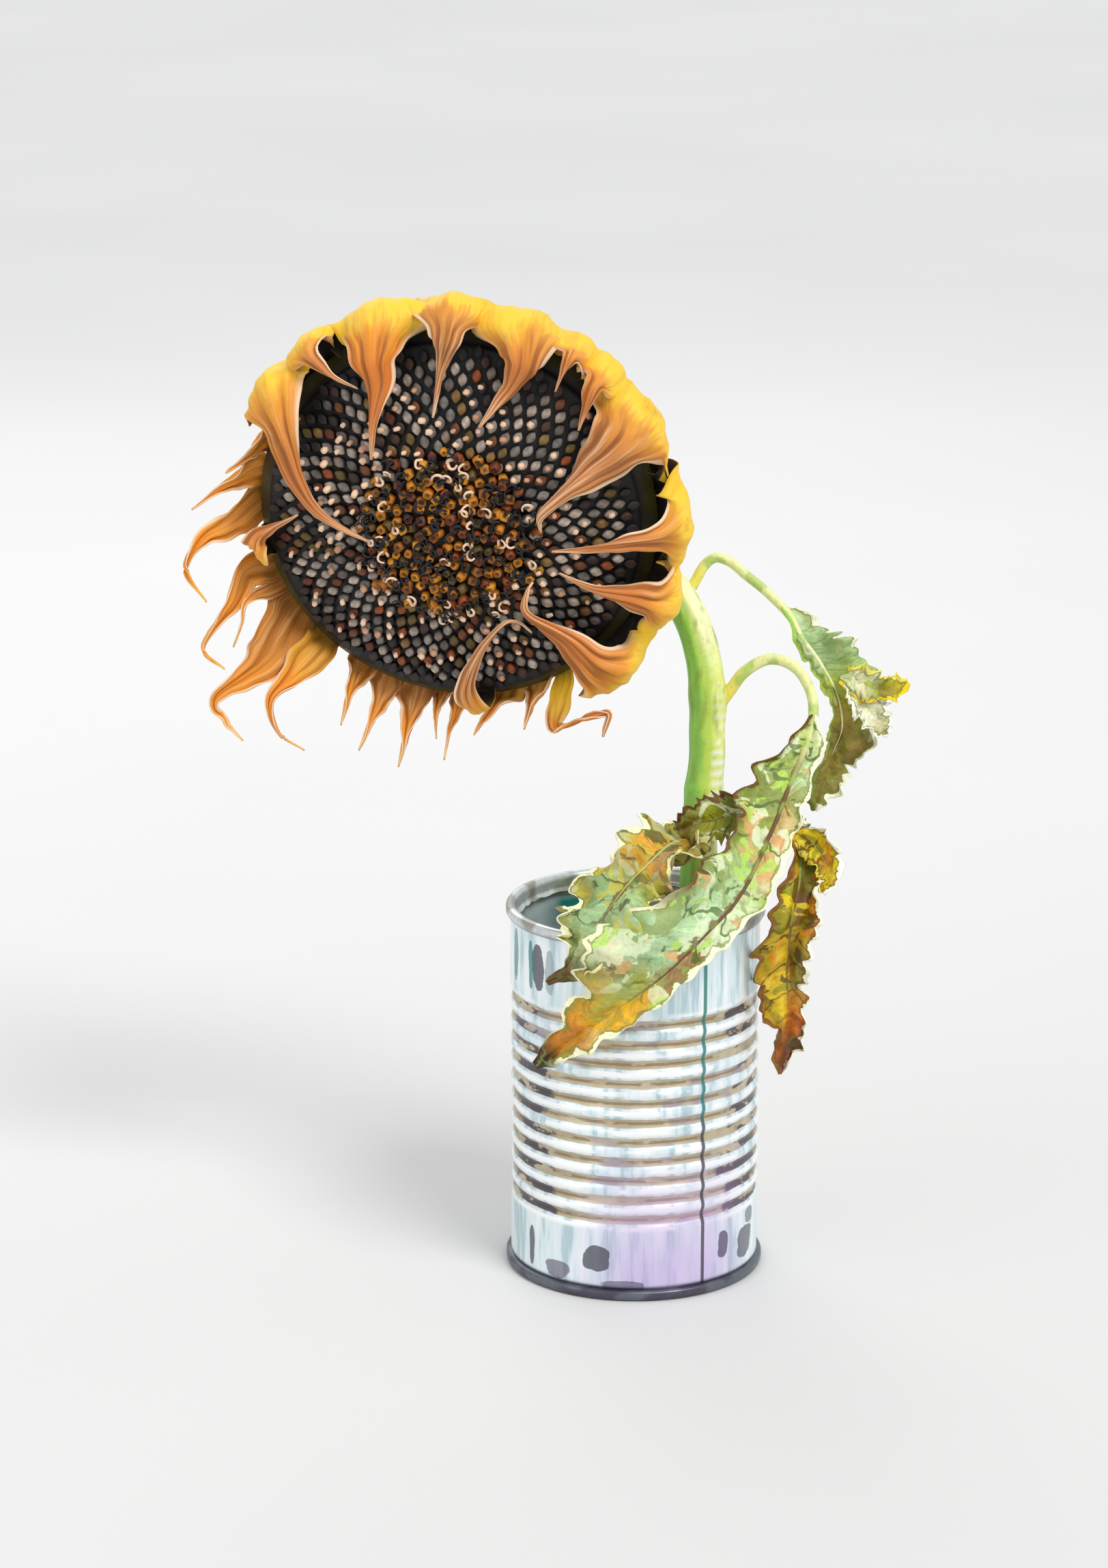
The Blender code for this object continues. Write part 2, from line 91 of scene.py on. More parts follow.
# A loose petal's way points have their height measured from the face's rim.
LOOSE_PETALS = {
    "petal_09": (158, 11, 0.2, [(61, 5, -2), (66, 10, 3)]),
    "petal_10": (169, 10, 0.15, [(67, 4, 0), (75, 9, 4)]),
    "petal_11": (178, 10, 0.2, [(66, 5, 1), (72, 7, 4), (79, 13, 6), (76, 21, 7)]),
    "petal_12": (198, 9, 0.25, [(64, -2, 1), (70, 4, 4), (84, 10, 6), (82, 16, 7)]),
    "petal_14": (205, 5, 0.6, [(66, -2, 3), (70, 2, 5), (76, 6, 6)]),
    "petal_15": (214, 15, 0.45, [(65, 2, 0), (74, 4, 3), (91, 4, 5), (94, 9, 6), (94, 13, 7)]),
    "petal_16": (226, 10, 0.1, [(60, -1, 0), (68, -1, 4), (78, -1, 7), (84, 5, 8), (84, 11, 8)]),
    "petal_17": (238, 9, 0.5, [(63, 1, 1), (73, 3, 4)]),
    "petal_18": (247, 9, 0.6, [(68, 0, 1), (78, 0, 4)]),
    "petal_19": (256, 10, 0.7, [(68, 0, 1), (79, 0, 4)]),
    "petal_20": (262.5, 6, 0.5, [(62, 0, 0), (68, 1, 3)]),
    "petal_21": (269, 6, 0.3, [(64, -2, 2), (73, -3, 6)]),
    "petal_23": (281, 11, 0.3, [(60, -3, -1), (66, -8, 3)]),
    "petal_24": (291, 11, 0.4, [(61, -2, -1), (66, -5, 3)]),
    "petal_25": (300, 8, 0.1, [(62, -3, 0), (68, -6, 4), (68, 3, 7), (70, 9, 8), (75, 4, 8)]),
}
# How a petal leaves the head's back: (distance from the face's centre, height above the rim).
FOLDED_START = [(52.6, -12), (61, -11), (67.5, -3), (66.5, 6)]
TIGHT_START = [(52.6, -12), (55.5, -8), (58.5, 0), (57, 7)]
LOOSE_START = [(52.6, -12), (58, -8)]
# How far along a folded petal the top of its arch is, and the stage of the petal's looks that it stands for.
FOLDED_ARCH = 27.8
TIGHT_ARCH = 20.6
ARCH_STAGE = 0.36
TIGHT_PETALS = ("petal_13", "petal_22")
CURLED_PETALS = ("petal_25",)
# How limp a loose petal looks, where it isn't wholly limp.
LIMPNESS = {"petal_25": 0.25, "petal_23": 0.6, "petal_24": 0.6, "petal_16": 0.75}
# A petal's breadth at each share of its length, as a share of its width.
FOLDED_BREADTH = [(0, 1), (0.14, 1), (0.3, 1), (0.44, 1), (0.6, 0.62), (0.76, 0.31), (0.92, 0.15), (1, 0.05)]
LOOSE_BREADTH = [
    (0, 0.9), (0.15, 1.2), (0.32, 1.3), (0.5, 0.98), (0.66, 0.52), (0.84, 0.28), (0.95, 0.16), (1, 0.04),
]
CURLED_BREADTH = [(0, 0.6), (0.2, 1), (0.4, 0.95), (0.6, 0.6), (0.85, 0.62), (0.95, 0.55), (1, 0.2)]


def colour(hex_code):
    """A hex colour as linear red, green and blue."""
    srgb = np.array([int(hex_code[i:i + 2], 16) / 255 for i in (0, 2, 4)])
    return np.where(srgb <= 0.04045, srgb / 12.92, ((srgb + 0.055) / 1.055) ** 2.4)


def colours(*codes):
    return [colour(code) for code in codes]


def head_matrix():
    """Head axes in metres: X to the face's right as seen from in front, Y up the face, Z out of the face."""
    facing = Vector(
        (
            -math.sin(HEAD_TURN) * math.cos(HEAD_NOD),
            -math.cos(HEAD_TURN) * math.cos(HEAD_NOD),
            -math.sin(HEAD_NOD),
        )
    )
    right = Vector((0, 0, 1)).cross(facing).normalized()
    up = facing.cross(right)
    axes = Matrix((right, up, facing)).transposed().to_4x4()
    return Matrix.Translation(AXIS + HEAD_CENTRE * MM) @ axes


HEAD = head_matrix()
TIN = Matrix.Translation(AXIS)


def dome(radius):
    """Height of the seed face above its rim."""
    return DOME_HEIGHT * np.maximum(0.0, 1 - (radius / FACE_RADIUS) ** 2)


def polar(radius, degrees, height):
    angle = math.radians(degrees)
    return np.array((radius * math.cos(angle), radius * math.sin(angle), height))


def spokes(angle):
    """The outward and the sideways direction at an angle round an axis."""
    return np.array((math.cos(angle), math.sin(angle), 0)), np.array((-math.sin(angle), math.cos(angle), 0))


def unit(vectors):
    return vectors / np.maximum(np.linalg.norm(vectors, axis=-1, keepdims=True), 1e-9)


def smooth_path(points, count):
    """Evenly spaced points along a Catmull-Rom curve through the given ones."""
    p = np.array(points, float)
    ends = np.vstack([2 * p[0] - p[1], p, 2 * p[-1] - p[-2]])
    t = np.linspace(0, 1, 24, endpoint=False)[:, None]
    spans = []
    for a, b, c, d in zip(ends, ends[1:], ends[2:], ends[3:]):
        square, cube = 2 * a - 5 * b + 4 * c - d, 3 * b - a - 3 * c + d
        spans.append(0.5 * (2 * b + (c - a) * t + square * t**2 + cube * t**3))
    dense = np.vstack([*spans, p[-1:]])
    length = np.concatenate([[0], np.cumsum(np.linalg.norm(np.diff(dense, axis=0), axis=1))])
    even = np.linspace(0, length[-1], count)
    return np.stack([np.interp(even, length, dense[:, i]) for i in range(3)], axis=1)


def ease(value, low, high):
    """0 below low, 1 above high, and smooth between."""
    t = np.clip((value - low) / (high - low), 0, 1)
    return t * t * (3 - 2 * t)


def bell(value, centre, width):
    return np.exp(-(((value - centre) / width) ** 2))


def cloud(points, scale, seed):
    """Smooth noise from 0 to 1 at each point, with features about scale across."""
    shift = Vector((seed * 17.3, seed * 5.1, seed * 9.7))
    return np.array([0.5 + 0.5 * noise.noise(Vector(p) / scale + shift) for p in points])


def mix(first, second, share):
    """Rows of colours mixed by a share for each row."""
    return first + (second - first) * np.clip(share, 0, 1)[:, None]


def paint(base, *coats):
    """A colour for each point: a base under coats of (colour, share). A colour is hex or has rows."""
    tint = colour(base) if isinstance(base, str) else base
    for coat, share in coats:
        tint = mix(tint, colour(coat) if isinstance(coat, str) else coat, share)
    return tint


def grid_faces(rows, columns, closed=False):
    faces = []
    wide = columns if closed else columns - 1
    for i in range(rows - 1):
        for j in range(wide):
            k = (j + 1) % columns
            faces.append((i * columns + j, i * columns + k, (i + 1) * columns + k, (i + 1) * columns + j))
    return faces


def ribbon(path, hint, width, angle, columns, twist=0.0, sweep=0.0):
    """Points of a strip along a path, with each half bent across its width.

    hint is the way the strip's right half points, before a twist about the path. width(along, side) is a half
    width. angle(along, out, side) is the slope across the strip, with out 0 at the middle and 1 at the edge.
    sweep leans the strip's edges forward along the path. Returns the points, each point's along and across
    values, and the strip's upward direction at each point.
    """
    rows = len(path)
    along = np.linspace(0, 1, rows)
    ahead = unit(np.gradient(path, axis=0))
    hint = np.broadcast_to(hint, path.shape)
    side = unit(hint - ahead * (hint * ahead).sum(1, keepdims=True))
    up = np.cross(side, ahead)
    turn = np.broadcast_to(twist, (rows,))[:, None]
    side, up = side * np.cos(turn) + up * np.sin(turn), up * np.cos(turn) - side * np.sin(turn)
    halves = []
    for sign in (-1, 1):
        half_width = width(along, sign)[:, None]
        out = np.linspace(0, 1, columns + 1)[1:]
        slope = angle(along[:, None], out[None, :], sign)
        step = half_width / columns
        flat = np.cumsum(np.cos(slope) * step, axis=1)
        lift = np.cumsum(np.sin(slope) * step, axis=1)
        outward = sign * side
        place = path[:, None] + outward[:, None] * flat[..., None] + up[:, None] * lift[..., None]
        place = place + ahead[:, None] * (sweep * flat)[..., None]
        halves.append(place)
    points = np.concatenate([halves[0][:, ::-1], path[:, None], halves[1]], axis=1)
    across = np.concatenate([-out[::-1], [0], out])
    grid_along, grid_across = np.meshgrid(along, across, indexing="ij")
    normals = np.repeat(up[:, None], len(across), axis=1)
    return points.reshape(-1, 3), grid_along.ravel(), grid_across.ravel(), normals.reshape(-1, 3)


def tube(path, radius, sides, hint):
    """Points and faces of a tube along a path, with each point's share along it.

    Both ends are closed by a pole. radius(along, angle) is the reach from the path, and hint is where the
    angle is measured from.
    """
    rows = len(path)
    ahead = unit(np.gradient(path, axis=0))
    side = np.zeros_like(path)
    last = np.array(hint, float)
    for i in range(rows):
        last = unit(last - ahead[i] * (last @ ahead[i]))
        side[i] = last
    up = np.cross(ahead, side)
    angles = np.linspace(0, 2 * math.pi, sides, endpoint=False)
    along = np.linspace(0, 1, rows)
    reach = radius(along[:, None], angles[None, :]) * np.ones((rows, sides))
    spoke = side[:, None] * np.cos(angles)[None, :, None] + up[:, None] * np.sin(angles)[None, :, None]
    points = (path[:, None] + spoke * reach[..., None]).reshape(-1, 3)
    faces = grid_faces(rows, sides, closed=True)
    first, last = len(points), len(points) + 1
    points = np.vstack([points, path[0], path[-1]])
    faces += [(first, (j + 1) % sides, j) for j in range(sides)]
    base = (rows - 1) * sides
    faces += [(last, base + j, base + (j + 1) % sides) for j in range(sides)]
    grid_along = np.concatenate([np.repeat(along, sides), [0, 1]])
    return points, faces, grid_along


def slab(points, rows, thickness):
    """A closed thin sheet about a grid of points: its points and faces, the upper side's points first."""
    columns = len(points) // rows
    grid = points.reshape(rows, columns, 3)
    normal = unit(np.cross(np.gradient(grid, axis=1), np.gradient(grid, axis=0))).reshape(-1, 3)
    half = np.broadcast_to(thickness, (len(points),))[:, None] / 2
    both = np.vstack([points + normal * half, points - normal * half])
    count = len(points)
    faces = grid_faces(rows, columns)
    faces += [tuple(count + k for k in reversed(face)) for face in faces]
    index = np.arange(count).reshape(rows, columns)
    border = [*index[0, :-1], *index[:-1, -1], *index[-1, :0:-1], *index[:0:-1, 0]]
    for a, b in zip(border, border[1:] + border[:1]):
        faces.append((b, a, count + a, count + b))
    return both, faces


def add_object(name, data):
    obj = bpy.data.objects.new(name, data)
    bpy.context.scene.collection.objects.link(obj)
    return obj


class Shape:
    """Closed forms gathered into one mesh, with named numbers and colours on their points."""

    def __init__(self):
        self.points, self.faces, self.values, self.count = [], [], {}, 0

    def add(self, points, faces, **values):
        self.points.append(np.asarray(points, float))
        self.faces += [tuple(self.count + k for k in face) for face in faces]
        for key, value in values.items():
            value = np.asarray(value, float)
            if value.shape in ((), (3,)):
                value = np.broadcast_to(value, (len(points), *value.shape))
            self.values.setdefault(key, []).append(value)
        self.count += len(points)

    def build(self, name, matrix, material, slot, *nodes):
        mesh = bpy.data.meshes.new(name)
        mesh.from_pydata(np.vstack(self.points) * MM, [], self.faces)
        for key, parts in self.values.items():
            numbers = np.concatenate(parts).astype(np.float32)
            if numbers.ndim == 1:
                mesh.attributes.new(key, "FLOAT", "POINT").data.foreach_set("value", numbers)
            else:
                rgba = np.ones((len(numbers), 4), np.float32)
                rgba[:, :3] = np.clip(numbers, 0, 1)
                mesh.attributes.new(key, "FLOAT_COLOR", "POINT").data.foreach_set("color", rgba.ravel())
        mesh.polygons.foreach_set("use_smooth", [True] * len(mesh.polygons))
        mesh.update()
        mesh.materials.append(material)
        obj = add_object(name, mesh)
        obj.matrix_world = matrix
        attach(obj, "root")
        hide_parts(*nodes)


def build_one(node, matrix, material, slot, points, faces, **values):
    """Build a piece of one closed form, named after the node that it replaces."""
    shape = Shape()
    shape.add(points, faces, **values)
    shape.build(node + "_look", matrix, material, slot, node)


def turned(profile, steps, wobble=None):
    """Points and faces of a closed (radius, height) profile turned round Z, with their angles and heights."""
    profile = np.array(profile, float)
    angles = np.linspace(0, 2 * math.pi, steps, endpoint=False)
    r = np.repeat(profile[:, 0], steps)
    z = np.repeat(profile[:, 1], steps)
    a = np.tile(angles, len(profile))
    if wobble is not None:
        r = r + wobble(z, a)
    points = np.stack([r * np.cos(a), r * np.sin(a), z], axis=1)
    last = (len(profile) - 1) * steps
    seam = [(last + j, last + (j + 1) % steps, (j + 1) % steps, j) for j in range(steps)]
    return points, grid_faces(len(profile), steps, closed=True) + seam, a, z


class Nodes:
    """A short way to write a material's node tree."""

    def __init__(self, name, roughness=0.6, metallic=0.0, **settings):
        self.material = bpy.data.materials.new(name)
        self.material.use_nodes = True
        self.tree = self.material.node_tree
        self.shader = self.tree.nodes["Principled BSDF"]
        self.shader.inputs["Roughness"].default_value = roughness
        self.shader.inputs["Metallic"].default_value = metallic
        for key, value in settings.items():
            self.shader.inputs[key.replace("_", " ")].default_value = value

    def add(self, kind, settings=None, **inputs):
        node = self.tree.nodes.new(kind)
        for key, value in (settings or {}).items():
            setattr(node, key, value)
        for key, value in inputs.items():
            self.put(value, node.inputs[key.replace("_", " ")])
        return node

    def put(self, value, socket):
        if isinstance(value, bpy.types.NodeSocket):
            self.tree.links.new(value, socket)
        else:
            socket.default_value = value

    def number(self, name):
        return self.add("ShaderNodeAttribute", {"attribute_name": name}).outputs["Fac"]

    def tint(self, name="tint"):
        return self.add("ShaderNodeAttribute", {"attribute_name": name}).outputs["Color"]

    def place(self):
        return self.add("ShaderNodeTexCoord").outputs["Object"]

    def math(self, operation, first, second=0.0, third=0.0):
        node = self.add("ShaderNodeMath", {"operation": operation})
        for value, socket in zip((first, second, third), node.inputs):
            self.put(value, socket)
        return node.outputs[0]

    def times(self, first, *others):
        for other in others:
            first = self.math("MULTIPLY", first, other)
        return first

    def plus(self, first, *others):
        for other in others:
            first = self.math("ADD", first, other)
        return first

    def minus(self, first, second):
        return self.math("SUBTRACT", first, second)

    def over(self, first, second):
        return self.math("DIVIDE", first, second)

    def size(self, value):
        return self.math("ABSOLUTE", value)

    def swing(self, value, amount):
        """Noise about 0.5 as a change about 0."""
        return self.times(self.minus(value, 0.5), amount)

    def noise(self, vector, scale, detail=3.0, roughness=0.55, distortion=0.0):
        node = self.add("ShaderNodeTexNoise", Vector=vector, Scale=scale, Detail=detail)
        node.inputs["Roughness"].default_value = roughness
        node.inputs["Distortion"].default_value = distortion
        return node.outputs["Fac"]

    def ramp(self, value, *stops):
        node = self.add("ShaderNodeValToRGB", Fac=value)
        elements = node.color_ramp.elements
        while len(elements) < len(stops):
            elements.new(0.5)
        for element, (position, rgb) in zip(elements, stops):
            element.position = position
            element.color = (*(colour(rgb) if isinstance(rgb, str) else (rgb,) * 3), 1)
        return node.outputs["Color"]

    def rise(self, value, low, high):
        return self.ramp(value, (low, 0.0), (high, 1.0))

    def fall(self, value, low, high):
        return self.ramp(value, (low, 1.0), (high, 0.0))

    def blend(self, first, second, share, how="MIX"):
        node = self.add("ShaderNodeMix", {"data_type": "RGBA", "blend_type": how})
        self.put(share, node.inputs[0])
        for value, socket in ((first, node.inputs[6]), (second, node.inputs[7])):
            self.put((*colour(value), 1) if isinstance(value, str) else value, socket)
        return node.outputs[2]

    def vector(self, x, y, z):
        return self.add("ShaderNodeCombineXYZ", X=x, Y=y, Z=z).outputs[0]

    def done(self, base, height=None, strength=0.3, distance=0.3):
        self.put(base, self.shader.inputs["Base Color"])
        if height is not None:
            bump = self.add("ShaderNodeBump", Height=height, Strength=strength, Distance=distance * MM)
            self.put(bump.outputs[0], self.shader.inputs["Normal"])
        return self.material


def tinted_material(name, grain, strength=0.3, distance=0.3, contrast=0.2, **settings):
    """A surface whose main colours are on its points, broken up by fine and coarse mottling."""
    n = Nodes(name, **settings)
    place = n.place()
    fine = n.noise(place, grain, 4.0, 0.65)
    coarse = n.noise(place, grain / 6, 2.0)
    shade = n.plus(n.times(fine, 0.65), n.times(coarse, 0.35))
    shade = n.ramp(shade, (0.3, 1 - 1.3 * contrast), (0.5, 1.0 - 0.2 * contrast), (0.7, 1.0))
    base = n.blend(n.tint(), shade, 1.0, "MULTIPLY")
    return n.done(base, fine, strength, distance)


# ---------------------------------------------------------------- ray petals

def petal_material():
    """A dried ray petal: yellow over the rim, then orange and brown-striped, with the stripes darker in its
    pleats' valleys as painted shade, painted highlights on the pleats' crests and pale painted highlights
    along its edges; a folded petal's inner face is near-black by its base as painted shade.
    """
    n = Nodes("dried_petal", 0.62, Sheen_Weight=0.08)
    along, across, tone, loose = (n.number(name) for name in ("along", "across", "tone", "loose"))
    place = n.place()
    lengthwise = n.times(along, 2.2)
    streak = n.noise(n.vector(n.math("MULTIPLY_ADD", across, 4.0, n.times(tone, 41.0)), lengthwise, tone),
                     1.0, 3.0, 0.6, 0.4)
    fine = n.noise(n.vector(n.math("MULTIPLY_ADD", across, 12.0, n.times(tone, 23.0)), lengthwise, 3.0),
                   1.0, 3.0, 0.65, 0.2)
    patch = n.noise(place, 95.0, 3.0)
    shifted = n.plus(along, n.swing(patch, 0.22), n.swing(fine, 0.25))
    young = n.ramp(
        shifted, (0.0, "D8B018"), (0.2, "F6C712"), (0.38, "F7CC38"), (0.46, "EE961A"), (0.6, "DC7608"),
        (0.8, "CC6C10"), (1.0, "F0B070"),
    )
    old = n.ramp(
        shifted, (0.0, "C8A020"), (0.2, "F2BE1A"), (0.33, "F5C830"), (0.4, "DE8E24"), (0.56, "C07C40"),
        (0.8, "C88A58"), (1.0, "F0C8A0"),
    )
    base = n.blend(young, old, tone)
    limp = n.ramp(
        shifted, (0.0, "5A3412"), (0.1, "9A6A20"), (0.24, "E08E1A"), (0.5, "F29A18"), (0.8, "F08E10"),
        (1.0, "F5B84A"),
    )
    faded = n.ramp(
        shifted, (0.0, "4A2C14"), (0.14, "8A5622"), (0.36, "B4743A"), (0.55, "E8901E"), (0.85, "F5A828"),
        (1.0, "F8D050"),
    )
    base = n.blend(base, n.blend(limp, faded, tone), loose)
    # Painted shade: a folded petal's inner face is near-black by its base, at the rim, then brown further
    # along.
    inside = n.ramp(
        along, (0.0, "140A06"), (0.2, "2C180C"), (0.33, "A8741C"), (0.6, "C8842A"), (1.0, "B8743A"),
    )
    base = n.blend(base, inside, n.number("inner"))
    # Brown stripes, which are the petal's own, are made darker in the pleats' valleys as painted shade.
    blade = n.rise(n.math("MULTIPLY_ADD", loose, 0.3, along), 0.38, 0.5)
    hollow = n.plus(n.times(n.number("valley"), 0.22), streak)
    brown = n.times(n.rise(hollow, 0.5, 0.62), blade)
    brown = n.times(brown, n.math("MULTIPLY_ADD", loose, -0.45, 1.0))
    base = n.blend(base, "8A4A14", n.times(brown, 0.8))
    # Painted highlight: pale peach on the pleats' crests.
    painted_ridge_highlight = n.minus(fine, n.times(n.number("valley"), 0.1))
    pale = n.times(n.rise(painted_ridge_highlight, 0.55, 0.66), blade)
    pale = n.times(pale, n.math("MULTIPLY_ADD", loose, -0.4, 1.0))
    base = n.blend(base, "F4CCA4", n.times(pale, n.math("MULTIPLY_ADD", tone, 0.6, 0.18)))
    thin = n.times(n.rise(streak, 0.54, 0.6), n.ramp(along, (0.1, 0.0), (0.3, 0.25)))
    base = n.blend(base, "C87A0C", thin)
    # Painted highlight: pale peach along the petal's edges.
    edge = n.plus(n.size(across), n.swing(fine, 0.25))
    edge = n.times(n.rise(edge, 0.8, 0.9), n.ramp(along, (0.34, 0.0), (0.46, 0.95)))
    base = n.blend(base, "F8D6B0", edge)
    base = n.blend(base, "6E3A12", n.times(n.fall(patch, 0.2, 0.36), 0.4))
    height = n.plus(n.times(streak, 0.7), n.times(fine, 0.5))
    return n.done(base, height, 0.7, 0.6)


def petal_path(angle, way, folded, tight, rows):
    start = TIGHT_START if tight else FOLDED_START if folded else LOOSE_START
    points = [polar(r, angle, height) for r, height in start]
    points += [polar(r, angle + turn, height + (dome(r) if folded else 0)) for r, turn, height in way]
    return smooth_path(points, rows)


def make_petal(name, angle, width, tone, way, folded, material, seed):
    """A petal with pleats that run to its twisted, narrowing tip."""
    rng = np.random.default_rng(seed)
    rows, columns = 38 + 6 * len(way), 8
    tight, curled = name in TIGHT_PETALS, name in CURLED_PETALS
    path = petal_path(angle, way, folded, tight, rows)
    stops, breadth = zip(*(FOLDED_BREADTH if folded else CURLED_BREADTH if curled else LOOSE_BREADTH))
    hump = max(width * 1.22, 31 if width > 13 else 22) if folded and not tight else width
    length = np.linalg.norm(np.diff(path, axis=0), axis=1).sum()
    apex = (TIGHT_ARCH if tight else FOLDED_ARCH) / length

    def stage(along):
        """How far along the petal a point is, with the top of a folded petal's arch always at one share."""
        if not folded:
            return along
        after = ARCH_STAGE + (1 - ARCH_STAGE) * (along - apex) / (1 - apex)
        return np.where(along < apex, ARCH_STAGE * along / apex, after)

    phase = rng.uniform(0, 6.28, 6)
    pleats = 2.3 if width > 15 else 1.4

    def half_width(along, side):
        ragged = 1 + 0.05 * np.sin(along * 23 + phase[0] + side) + 0.04 * np.sin(along * 47 + phase[1] * side)
        lean = 1 + 0.14 * side * np.sin(along * 5 + phase[2])
        full = width + (hump - width) * (1 - ease(stage(along), ARCH_STAGE, 0.5))
        return full / 2 * np.interp(stage(along), stops, breadth) * ragged * lean

    def pleat_phase(along, out, side):
        waver = 0.5 * np.sin(along * 13 + phase[5])
        return out * 2 * math.pi * pleats + phase[3] * side + 2.5 * along + waver

    def slope(along, out, side):
        at = stage(along)
        hood = (-0.35 - 0.75 * ease(at, 0.5, 0.9) - 0.7 * folded * bell(at, 0.34, 0.16)) * out
        fold = 0.95 * np.sin(pleat_phase(along, out, side))
        fold = fold * (0.25 + 0.75 * ease(at, 0.3, 0.55) + 0.4 * (1 - folded))
        curl = -1.0 * out**3 * bell(along, 0.8, 0.3)
        flutter = 0.55 * out**2 * np.sin(along * 17 + phase[4] + side)
        return hood + fold + curl + flutter

    along = np.linspace(0, 1, rows)
    turn = rng.uniform(0.6, 1.3) * rng.choice([-1, 1]) * ease(along, 0.6, 1.0)
    points, share, across, _ = ribbon(path, polar(1, angle + 90, 0), half_width, slope, columns, turn)
    both, faces = slab(points, rows, 0.5 - 0.22 * np.abs(across))
    inner = np.repeat([0.0, 1.0], len(points)) * folded
    valley = np.cos(pleat_phase(share, np.abs(across), np.sign(across)))
    valley = np.concatenate([valley, -valley])
    loose = 0.0 if folded else LIMPNESS.get(name, 1.0)
    build_one(name, HEAD, material, "petal", both, faces, along=np.tile(stage(share), 2),
              across=np.tile(across, 2), tone=tone, loose=loose, inner=inner, valley=valley)


def make_petals():
    material = petal_material()
    seed = 10
    for petals, folded in ((FOLDED_PETALS, True), (LOOSE_PETALS, False)):
        for name, (angle, width, tone, way) in petals.items():
            make_petal(name, angle, width, tone, way, folded, material, seed)
            seed += 1


# ---------------------------------------------------------------- the seed face

def make_seeds():
    """Separate seeds in crossing spirals over a black bed that is painted shade between them, with dried
    floret stubs left on some of them.
    """
    rng = np.random.default_rng(3)
    shape = Shape()
    bed = [(FLORET_RADIUS - 1, -2)] + [(r, -2) for r in (38, FACE_RADIUS)]
    rings = (FACE_RADIUS + 0.4, 52, 49, 46, 42, 38, 34, 30, 26, FLORET_RADIUS - 1)
    bed += [(r, dome(r) - 1.1) for r in rings]
    points, faces, _, _ = turned(bed, 90)
    # Painted shade: the near-black bed shows in the gaps between the seeds.
    shape.add(points, faces, tint=colour("0B0808"))
    # Each ring of a seed, from its foot up: shift toward the rim, level, scale.
    ring = [(0.0, -1.6, 0.86), (0.0, 0.1, 1.0), (0.04, 0.75, 0.95), (0.07, 1.05, 0.78), (0.1, 1.2, 0.4)]
    sides = 10
    turns = np.linspace(0, 2 * math.pi, sides, endpoint=False)
    outline = 1 / (np.abs(np.cos(turns)) ** 1.35 + np.abs(np.sin(turns)) ** 1.35) ** (1 / 1.35)
    greys = colours("6E6860", "8B8078", "B0A090", "7A6C60", "9A8C7E", "5A524C")
    darks = colours("1A1210", "0A0708", "2A1A10", "3A2010")
    warm = colours("5A2200", "8A4008", "5E4A18", "6A3A12", "7A5A2A")
    first, end = (int((reach / SEED_SPACING) ** 2) for reach in (FLORET_RADIUS, FACE_RADIUS))
    for n in range(first - 6, end):
        radius = SEED_SPACING * math.sqrt(n + 0.5)
        angle = n * GOLDEN_ANGLE
        if radius > FACE_RADIUS - 0.6:
            continue
        edge = (radius - FLORET_RADIUS) / (FACE_RADIUS - FLORET_RADIUS)
        roll = rng.uniform(size=4)
        # The outermost seeds are all dark: partly dried black seeds, partly painted shade at the rim.
        if edge > 0.86:
            shades = darks
        elif roll[1] < 0.16 + 0.3 * max(0, 0.35 - edge) / 0.35:
            shades = warm
        else:
            shades = darks if roll[1] < 0.3 else greys
        base = shades[int(roll[0] * len(shades))]
        size = np.array([2.02, 1.5]) * (0.95 + 0.1 * roll[2])
        height = 0.55 + 0.5 * roll[3] - (0.5 if edge > 0.9 else 0)
        tilt = rng.normal(0, 0.1, 2)
        out, across = spokes(angle)
        slope = -2 * DOME_HEIGHT * radius / FACE_RADIUS**2
        up = unit(np.array((-slope * out[0], -slope * out[1], 1.0)) + tilt[0] * out + tilt[1] * across)
        out = unit(out - up * (out @ up))
        across = np.cross(up, out)
        centre = np.array((radius * math.cos(angle), radius * math.sin(angle), dome(radius)))
        rows = []
        for shift, level, scale in ring:
            flat = (np.cos(turns) * outline * scale + shift)[:, None] * size[0] * out
            flat = flat + (np.sin(turns) * outline * scale)[:, None] * size[1] * across
            rows.append(centre + flat + up * (level * height + (0 if level > 0 else -0.4)))
        rows.append((centre + up * (1.22 * height))[None])
        points = np.vstack(rows)
        faces = grid_faces(len(ring), sides, closed=True)
        top, last = (len(ring) - 1) * sides, len(points) - 1
        faces += [(last, top + j, top + (j + 1) % sides) for j in range(sides)]
        faces.append(tuple(reversed(range(sides))))
        # Painted shade: each seed darkens toward its foot, and is a little lighter on top as a painted
        # highlight. The stripes are the seed's own.
        shade = np.repeat([0.12, 0.3, 0.75, 1.0, 1.1], sides)
        stripe = 1 + 0.25 * np.cos(np.tile(turns, len(ring)) * 2 + roll[0] * 3)
        tint = base[None] * np.append(shade * stripe, 1.15)[:, None]
        shape.add(points, faces, tint=np.clip(tint, 0, 1))
        stub_chance = 0.38 if edge < 0.6 else 0.16 if edge < 0.85 else 0.03
        if rng.uniform() < stub_chance:
            stub_path = smooth_path(
                [centre + up * 0.7, centre + up * (1.6 + roll[0]) + across * 0.3,
                 centre + up * (2.0 + roll[0]) + across * (0.6 + roll[2]) + out * (roll[3] - 0.5)], 5)
            fat = 0.5 + 0.35 * roll[1]
            points, faces, _ = tube(
                stub_path, lambda s, a: fat * (0.55 + 0.75 * np.sin(np.clip(s * 2.6, 0, 3.1))), 6, across)
            shape.add(points, faces, tint=colour("F0CBAA" if roll[3] > 0.25 else "C89878"))
    material = tinted_material("seed_husk", 900, 0.35, 0.25, 0.35, roughness=0.62)
    shape.build("seed_ring_look", HEAD, material, "seeds", "seed_ring")


